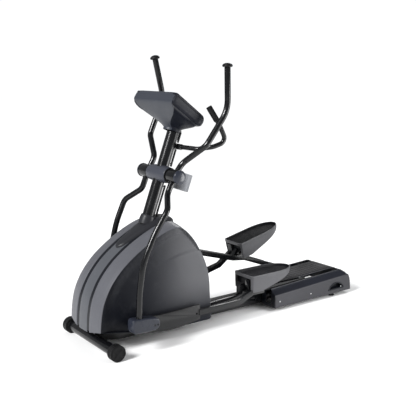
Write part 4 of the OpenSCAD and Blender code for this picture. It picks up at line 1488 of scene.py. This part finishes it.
@dataclass
class Handlebar:
    """One swinging handlebar with its sleeve, caps and lower bracket."""

    side: Side
    bar_r: float = 19.0
    upper: tuple = ((511, -150, 1024), (578, -146, 1101), (659, -284, 1216), (817, -290, 1424),
                    (813, -290, 1682))
    lower: tuple = ((511, -150, 1024), (450, -166, 920), (372, -286, 852), (281, -290, 727),
                    (195, -290, 559), (166, -290, 381), (158, -290, 215))
    cover: tuple = ((103, 220), (100, 190), (102, 164), (116, 143), (170, 138), (240, 138),
                    (274, 146), (289, 168), (288, 194), (272, 210), (228, 219), (190, 224),
                    (150, 227), (116, 229))

    plate: tuple = ((136, 226), (184, 226), (196, 190), (196, 160), (150, 152), (136, 170))
    screw: tuple = ((0.01, -321.9), (5.4, -321.9), (6.4, -321.5), (6.6, -319.0))
    screw_x: tuple[float, float] = (252.0, 272.0)

    def piece(self, name: str, skin: Skin, slot: str, paint: Paint, *nodes: str,
              wall: float = 0.0, eye: Sequence[float] | None = None) -> None:
        """Places a left-hand skin on this side and dresses it.

        Args:
            name: the piece's name, without its side.
            skin: the left-hand surface.
            slot: its material slot.
            paint: its finish.
            nodes: the CAD nodes that it replaces, without their side.
            wall: its thickness, for an open surface.
            eye: a point that its faces look away from, for an open surface.
        """
        word = self.side.word
        placed = HANDLE.on(skin, self.side)
        if eye is not None and self.side is Side.RIGHT:
            eye = HANDLE.points(np.asarray([eye], float))[0]
        build(f"{word}_{name}", placed, Dress(
            f"{word}_swing", slot, paint, tuple(f"{word}_{n}" for n in nodes), wall), eye)

    def make(self) -> None:
        """Sweeps the bars and turns the sleeve, caps and boss."""
        self.piece("upper_bar", sweep(rounded_path(self.upper, (70, 60, 190), 3), self.bar_r, 32),
                   "frame_black", Paint.FRAME, "handlebar")
        self.piece("lower_bar", sweep(rounded_path(self.lower, (60, 60, 600, 450, 800), 2),
                                      self.bar_r, 32), "frame_black", Paint.FRAME)
        sleeve = [(14.0, -204.8)] + fillet(42, -205, -109, 3.0) + [(14.0, -109.2)]
        self.piece("hub_sleeve", lathe(sleeve, HUB_AT, sides=72), "frame_black", Paint.FRAME)
        dome = [(0.01, -227.0), (8.0, -226.6)] + [
            (43.5 * math.cos(q), -213.1 - 13.6 * math.sin(q))
            for q in np.linspace(1.35, 0.0, 12)] + [(44.6, -210), (44.4, -206.5), (43.0, -205.1)]
        self.piece("hub_dome", lathe(dome, HUB_AT, sides=72), "dark_plastic", Paint.COVER,
                   "hub_cap")
        knob = [(19.5, 0.1), (26.5, 0.3), (30.5, 3.0), (32.0, 8.0)] + [
            (32 * math.cos(q), 8 + 17.8 * math.sin(q)) for q in np.linspace(0.1, 1.5, 12)]
        self.piece("grip_knob", lathe(knob, self.upper[-1], (0, 0, 1), 48),
                   "black_rubber", Paint.RUBBER, "grip_cap")
        self.bracket()

    def bracket(self) -> None:
        """Makes the lower boss and fork plate, and the moulded cover that hides them."""
        self.piece("fork_plate", cushioned_slab(rounded_plate(self.plate, (5.0,) * 6, 20),
                                                -304, -268, 2.5, upright),
                   "frame_black", Paint.FRAME)
        boss = [(10.2, -303.8)] + fillet(22, -304, -260, 1.5) + [(10.2, -260.2)]
        self.piece("fork_boss", lathe(boss, (170, 0, 175)), "frame_black", Paint.FRAME)
        outline = spline(self.cover, 96, closed=True)
        q = np.linspace(0, math.pi / 2, 6)
        rings = [upright(inset(outline, 11 * (1 - math.sin(t))), -321 + 11 * (1 - math.cos(t)))
                 for t in q] + [upright(outline, -275), upright(outline, -260)]
        self.piece("bracket_shell", stacked(np.stack(rings), last=False), "dark_plastic",
                   Paint.COVER, "bracket_cover", wall=3.0, eye=(190, -280, 180))
        # Dark discs at the two screws: the screw heads, painted as dark as the shade in their holes.
        for k, x in enumerate(self.screw_x):
            self.piece(f"cover_screw_{k + 1}", lathe(self.screw, (x, 0, 172), sides=20),
                       "bright_steel", Paint.RUBBER)


@dataclass
class Stride:
    """One link with its pedal and ribbed tread."""

    side: Side
    pedal_x0: float = 1068.0
    pedal_y: float = 145.0
    half: float = 100.0
    long: float = 414.0
    straight: float = 215.0
    wall: float = 4.0
    inside: tuple[float, float, float] = (1250.0, -145.0, 240.0)
    foot: tuple = ((1060, 205), (1085, 190), (1160, 190), (1475, 274), (1500, 284))
    skirt_top: float = 284.0
    tray_rings: tuple = ((7.0, 303.6), (7.6, 302), (8.4, 295), (9.2, 287.5), (10.4, 284.4),
                         (12.5, 283.2))
    inner_wall: tuple = ((1096, -236), (1101, -236), (1101, -54), (1096, -54))
    inner_wall_z: tuple[float, float] = (226.0, 281.0)

    def plan(self, count: int = 132) -> np.ndarray:
        """The pedal's outline.

        Args:
            count: how many points to return.

        Returns:
            (count, 2) points: a straight front with rounded corners and a heel at x = start +
            depth sin^0.9 q, y = half cos q.
        """
        x0, y, w, xs = self.pedal_x0, -self.pedal_y, self.half, self.pedal_x0 + self.straight
        q = np.linspace(0, math.pi, 31)
        heel = np.stack([xs + (self.long - self.straight) * np.sin(q) ** 0.9,
                         y + w * np.cos(q)], 1)
        front = np.array([(x0 + 30, y - w), (x0 + 9, y - w + 8), (x0, y - w + 30),
                          (x0, y), (x0, y + w - 30), (x0 + 9, y + w - 8), (x0 + 30, y + w)])
        return spline(np.vstack([front, heel]), count, closed=True)

    def ring(self, d: float, z: Any) -> np.ndarray:
        """The plan drawn in by d, at height z."""
        plan = self.plan()
        return np.column_stack([inset(plan, d), np.broadcast_to(z, len(plan))])

    def pedal(self) -> Skin:
        """Skirt and rim as one open shell.

        Returns:
            Rings of the outline drawn in by d at height z. The skirt's foot follows the
            underside, which climbs from x = 1160 to the heel.
        """
        plan = self.plan()
        foot = np.interp(plan[:, 0], *np.asarray(self.foot, float).T)
        rings = [self.ring(4.0 * (1 - k) ** 2 + 1.2, foot + (self.skirt_top - foot) * k)
                 for k in np.linspace(0, 1, 7)]
        rings += [self.ring(1.0, 286.5), self.ring(0.0, 289), self.ring(0.0, 301)]
        rings += [self.ring(3.2 * (1 - math.cos(q)), 301.8 + 3.2 * math.sin(q))
                  for q in np.linspace(0.2, 1.4, 4)]
        rings += [self.ring(6.2, 304.8), self.ring(7.2, 304.2)]
        grid = np.stack(rings)
        keep = np.ones((len(rings) - 1, len(plan)), bool)
        front = (plan[:, 0] < self.pedal_x0 + 4) & (np.roll(plan[:, 0], -1) < self.pedal_x0 + 4)
        keep[:6, front] = False
        return lattice(grid, close_v=True, keep=keep)

    def tray(self) -> Skin:
        """The sunken tray inside the rim: steep walls, a rounded foot and a floor."""
        grid = np.stack([self.ring(d, z) for d, z in self.tray_rings])
        return lattice(grid, close_v=True) + lid(grid[-1][::-1])

    def make(self) -> None:
        """Softens the link, builds the pedal and its inner front wall, and lays the tread."""
        word = self.side.word
        body = f"{word}_stride"
        softened(f"{word}_link", Dress(body, "frame_black", Paint.FRAME, bevel=3.0))
        eye = np.array([self.inside])
        eye = eye if self.side is Side.LEFT else LINK.points(eye)
        build(f"{word}_pedal_shell", LINK.on(self.pedal(), self.side), Dress(
            body, "deck_grey", Paint.PEDAL, (f"{word}_pedal",), self.wall), eye[0])
        build(f"{word}_pedal_tray", LINK.on(self.tray(), self.side), Dress(
            body, "deck_grey", Paint.TRAY))
        panel = stacked(np.stack([np.column_stack([self.inner_wall, np.full(4, z)])
                                  for z in self.inner_wall_z]))
        build(f"{word}_pedal_inner_wall", LINK.on(panel, self.side), Dress(
            body, "deck_grey", Paint.TRAY, bevel=1.2))
        softened(f"{word}_pedal_mat", Dress(body, "black_rubber", Paint.MAT, bevel=1.0))


@dataclass
class RollerArm:
    """One roller arm with its axle and roller, and the link's pin."""

    side: Side

    def make(self) -> None:
        """Softens the bar's edges and the turned parts."""
        for node, body, slot, paint, bevel in (
                ("roller_arm", "arm", "frame_black", Paint.FRAME, 7.0),
                ("roller_axle", "carriage", "bright_steel", Paint.STEEL, 0.8),
                ("roller", "track_roller", "roller_nylon", Paint.DARK, 1.0),
                ("link_pin", "pin", "bright_steel", Paint.STEEL, 1.0)):
            softened(f"{self.side.word}_{node}",
                     Dress(f"{self.side.word}_{body}", slot, paint, bevel=bevel))


class Drive:
    """Crank, pulley, belt, flywheel and brake inside the shroud."""

    def make(self) -> None:
        """Softens or coats the parts that show through the slots."""
        softened("crank_set", Dress("crank", "bright_steel", Paint.STEEL_DARK, bevel=1.5))
        softened("drive_pulley", Dress("crank", "dark_plastic", Paint.DARK, bevel=1.0))
        softened("flywheel", Dress("inertia_wheel", "flywheel_iron", Paint.IRON, bevel=1.0))
        softened("brake_magnet", Dress("base", "magnet_holder", Paint.CAST, bevel=1.0))
        coat_node("drive_belt", Paint.RUBBER)


@dataclass
class RearHousing:
    """The track housing: sides with hand holds, two slots, the deck and the feet."""

    x0: float = 1305.0
    x1: float = 2065.0
    half: float = 215.0
    pitch: float = math.radians(2.3)
    slot: tuple[float, float] = (112.0, 168.0)
    slot_end: float = 2007.0
    hold: tuple[float, float, float, float] = (1910.0, 16.0, 88.0, 60.0)
    roof: tuple = ((1305, 163), (1975, 190), (2000, 184), (2022, 170), (2040, 148),
                   (2053, 118), (2061, 80), (2065, 28))
    section: tuple = ((60, 166), (112, 165), (168, 162.5), (170, 158), (173, 152), (190, 138),
                      (211, 121.5), (214, 119), (215, 115.5))
    foot_z: float = 28.0
    spine_half: float = 71.0
    wall: float = 4.0
    hold_rings: tuple = ((-5.0, 215.2), (-4.5, 216.6), (-2.0, 217.0), (0.5, 216.2), (1.2, 213.0),
                         (2.2, 185.0), (6.0, 179.5))
    foot_at: tuple[float, float] = (1905.0, 172.0)
    foot_stem: tuple = ((12.5, 17.5), (11.5, 18.5), (6.0, 18.8), (6.0, 42.0), (5.0, 43.0))

    def height(self, x: np.ndarray, local: float) -> np.ndarray:
        """A section height carried up the deck's pitch and held under the roof line.

        Args:
            x: places along the machine.
            local: the section's height at the front.

        Returns:
            The soft minimum m - sqrt(d^2 + 4) of the two, with m their mean and d half their
            difference.
        """
        line = local + (x - self.x0) * math.tan(self.pitch)
        roof = np.interp(x, *np.asarray(self.roof, float).T)
        return (line + roof) / 2 - np.sqrt(((line - roof) / 2) ** 2 + 4)

    def stations(self) -> np.ndarray:
        """Lengthwise positions of the grid.

        Returns:
            Positions in order, close together round the hand hold and the rear roll-off.
        """
        q = np.linspace(0, math.pi / 2, 26)
        cx, _, r, flat = self.hold
        reach = math.sqrt(r * r - (flat - self.hold[1]) ** 2)
        parts = [np.linspace(self.x0, cx - reach, 40), cx - reach * np.cos(np.linspace(
            0, math.pi, 33)), np.linspace(cx + reach, self.slot_end, 4),
            self.slot_end + (self.x1 - self.slot_end) * np.sin(q)]
        return np.unique(np.round(np.concatenate(parts), 4))

    def side_wall(self, x: np.ndarray) -> np.ndarray:
        """Heights down the side wall.

        Args:
            x: places along the machine.

        Returns:
            One row for each step down: above the hand hold's arch, then below its flat.
        """
        cx, cz, r, flat = self.hold
        arch = np.maximum(flat, cz + np.sqrt(np.maximum(r * r - (x - cx) ** 2, 0)))
        reach = math.sqrt(r * r - (flat - cz) ** 2)
        arch = np.where(np.abs(x - cx) < reach + 0.01, arch, flat)
        roof = np.interp(x, *np.asarray(self.roof, float).T)
        top = self.height(x, self.section[-1][1])
        arch, low = np.minimum(arch, top), np.minimum(flat, top)
        rows = [top + (arch - top) * k for k in (0.25, 0.5, 0.75, 1.0)]
        return np.stack(rows + [low, low + (self.foot_z - low) * 0.5,
                                np.minimum(roof, self.foot_z)])

    def shell(self, top_only: bool) -> Skin:
        """The housing's skin with the slots and hand holds left out.

        Args:
            top_only: whether to return the dark top with its bevels, or else the light sides.

        Returns:
            A grid of the section's rows along the stations.
        """
        x = self.stations()
        sec = np.asarray(self.section, float)
        top = np.stack([self.height(x, h) for h in sec[:, 1]])
        wall = self.side_wall(x)
        z = np.concatenate([top, wall])
        y = np.concatenate([sec[:, 0], np.full(len(wall), self.half)])
        z = np.concatenate([z[::-1], z])
        y = np.concatenate([-y[::-1], y])
        grid = np.stack([np.broadcast_to(x, z.shape), np.broadcast_to(y[:, None], z.shape), z], -1)
        keep = np.ones((len(y) - 1, len(x) - 1), bool)
        n = len(y) // 2
        open_x = x[:-1] < self.slot_end - 0.01
        arch_row = len(sec) + 3
        for row in (n + 1, n - 3):
            keep[row, open_x] = False
        keep[n + arch_row] = False
        keep[n - 2 - arch_row] = False
        bevelled = np.abs(np.arange(len(y) - 1) - (n - 1)) <= len(sec) - 3
        keep[~bevelled if top_only else bevelled] = False
        return lattice(grid, keep=keep)

    def front(self) -> Skin:
        """The front wall.

        Returns:
            A grid of heights at eleven places across, open at the slots and round the spine.
        """
        (inner, outer), spine = self.slot, self.spine_half
        y = np.array([spine, inner, outer, 192, self.half])
        y = np.concatenate([-y[::-1], [0.0], y])
        f = np.array([0, 26, 71, 200], float)
        sec = np.asarray(self.section, float)
        top = np.interp(np.abs(y), sec[:, 0], sec[:, 1]) - 4
        z = np.minimum(self.foot_z + f[None], top[:, None])
        z[:, -1] = top
        grid = np.stack([np.full(z.shape, self.x0 + 3.0), np.broadcast_to(y[:, None], z.shape), z],
                        -1)
        keep = np.ones((len(y) - 1, 3), bool)
        mid = (y[1:] + y[:-1]) / 2
        keep[(np.abs(mid) > inner) & (np.abs(mid) < outer), 1:] = False
        keep[np.abs(mid) < spine, :2] = False
        return lattice(grid, keep=keep)

    def cup(self, side: Side) -> Skin:
        """A hand hold.

        Args:
            side: the side that it is on.

        Returns:
            Rings of the arch drawn in by d at a distance y: a lip, walls going in and a back.
        """
        cx, cz, r, flat = self.hold
        reach = math.asin((flat - cz) / r)
        q = np.linspace(reach, math.pi - reach, 40)
        arch = np.stack([cx + r * np.cos(q), cz + r * np.sin(q)], 1)
        ring = np.vstack([arch, np.linspace(arch[-1], arch[0], 16)[1:-1]])
        grid = np.stack([upright(inset(ring, d), y * side.value) for d, y in self.hold_rings])
        return lattice(grid, close_v=True) + lid(grid[-1])

    def make(self) -> None:
        """Builds the housing's mouldings and dresses the deck, tracks and feet."""
        build("housing_top", self.shell(True), Dress(
            "base", "housing_grey", Paint.HOUSING_TOP, ("track_housing",), self.wall), (1700, 0, 40))
        build("housing_sides", self.shell(False), Dress(
            "base", "housing_grey", Paint.HOUSING, wall=self.wall), (1700, 0, 40))
        build("housing_front", self.front(), Dress(
            "base", "housing_grey", Paint.DARK, wall=3.0), (1700, 0, 100))
        for side in Side:
            build(f"hand_hold_{side.word}", self.cup(side), Dress(
                "base", "dark_plastic", Paint.DARK, wall=2.0), (self.hold[0], side.value * 300, 90))
        softened("deck_panel", Dress("base", "deck_grey", Paint.DECK, bevel=0.45))
        softened("roller_tracks", Dress("base", "bright_steel", Paint.STEEL, bevel=0.6))
        for side in Side:
            word = side.word
            foot = fillet(22, 0.0, 11, 2.0) + list(self.foot_stem)
            place = (self.foot_at[0], side.value * self.foot_at[1], 0)
            build(f"{word}_foot_pad", lathe(foot, place, (0, 0, 1), 40),
                  Dress(f"{word}_foot", "black_rubber", Paint.RUBBER,
                        (f"{word}_levelling_foot",)))


# ----------------------------------------------------------------------- studio


@dataclass
class Studio:
    """Floor, lights and camera."""

    floor_half: float = 30.0
    floor_z: float = -0.0005
    floor_tone: float = 0.96
    sky_tone: tuple[float, float, float, float] = (0.97, 0.985, 1.0, 1.0)
    ambient: float = 0.3
    backdrop: float = 1.05
    lens: float = 62.64
    sensor: float = 36.0
    eye: tuple[float, float, float] = (-2.942, -3.795, 1.70)
    gaze: tuple[float, float, float] = (0.5855, 0.7868, -0.1951)

    def stand(self, name: str, data: Any, direction: Sequence[float]) -> bpy.types.Object:
        """Puts a light or the camera in the scene.

        Args:
            name: its name.
            data: the light or camera.
            direction: the way that it looks.

        Returns:
            The object, at the origin.
        """
        obj = bpy.data.objects.new(name, data)
        obj.rotation_euler = Vector(direction).to_track_quat("-Z", "Y").to_euler()
        bpy.context.scene.collection.objects.link(obj)
        return obj

    def lamp(self, name: str, place: Sequence[float], target: Sequence[float], size: float,
             watts: float) -> None:
        """Hangs a square area light.

        Args:
            name: its name.
            place: where it hangs.
            target: the point that it faces.
            size: its side, in metres.
            watts: its power.
        """
        data = bpy.data.lights.new(name, "AREA")
        data.size, data.energy = size, watts
        lamp = self.stand(name, data, Vector(target) - Vector(place))
        lamp.location = place
        lamp.visible_camera = False

    def sun(self, name: str, direction: Sequence[float], strength: float, angle: float) -> None:
        """Adds a soft sun.

        Args:
            name: its name.
            direction: the way that it shines.
            strength: watts to the square metre.
            angle: its width in degrees.
        """
        data = bpy.data.lights.new(name, "SUN")
        data.energy, data.angle = strength, math.radians(angle)
        self.stand(name, data, direction)

    def floor(self) -> None:
        """Lays the pale floor."""
        q = np.linspace(-1, 1, 9) * self.floor_half
        gx, gy = np.meshgrid(q, q, indexing="ij")
        skin = lattice(np.stack([gx, gy, np.full(gx.shape, self.floor_z)], -1))
        mesh = bpy.data.meshes.new("floor")
        mesh.from_pydata(skin.points.tolist(), [], skin.faces)
        floor = bpy.data.objects.new("floor", mesh)
        bpy.context.scene.collection.objects.link(floor)
        mesh.materials.append(Graph("pale_floor").finish(
            Base_Color=(self.floor_tone,) * 3, Roughness=0.95))

    def sky(self) -> None:
        """Makes a sky that is dimmer as a light than it looks behind the trainer."""
        world = bpy.data.worlds.new("studio")
        world.use_nodes = True
        tree = world.node_tree
        sky = tree.nodes["Background"]
        ray = tree.nodes.new("ShaderNodeLightPath")
        level = tree.nodes.new("ShaderNodeMapRange")
        level.inputs[3].default_value, level.inputs[4].default_value = self.ambient, self.backdrop
        tree.links.new(ray.outputs["Is Camera Ray"], level.inputs[0])
        tree.links.new(level.outputs[0], sky.inputs[1])
        sky.inputs[0].default_value = self.sky_tone
        bpy.context.scene.world = world
        bpy.context.scene.view_settings.view_transform = "Standard"

    def make(self) -> None:
        """Lays the floor, sets the sky, hangs the lights and stands the camera."""
        self.floor()
        self.sky()
        self.sun("key", (1.0, 0.1, -0.75), 4.4, 20.0)
        self.lamp("fill", (2.6, -2.7, 1.1), (0.1, 0.0, 0.4), 1.2, 50)
        self.lamp("rear_fill", (0.5, -1.05, 0.65), (-0.4, -0.2, 0.4), 0.6, 10)
        self.lamp("rim", (2.6, 2.6, 3.2), (0.0, 0.0, 0.7), 1.6, 60)
        data = bpy.data.cameras.new("view")
        data.lens, data.sensor_width = self.lens, self.sensor
        camera = self.stand("view", data, self.gaze)
        camera.location = self.eye
        bpy.context.scene.camera = camera


def main() -> None:
    """Builds every sub-assembly in order."""
    logging.basicConfig(level=logging.INFO, format="%(name)s: %(message)s")
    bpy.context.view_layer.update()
    Studio().make()
    parts: list[Any] = [Chassis(), *(TransportWheel(s) for s in Side), Shroud(), Hub(), Console(),
                   FixedHandles(), BottleCup(), *(Handlebar(s) for s in Side),
                   *(Stride(s) for s in Side), *(RollerArm(s) for s in Side), Drive(),
                   RearHousing()]
    for part in parts:
        LOG.info("-- %s", type(part).__name__)
        part.make()


if __name__ == "__main__":
    main()
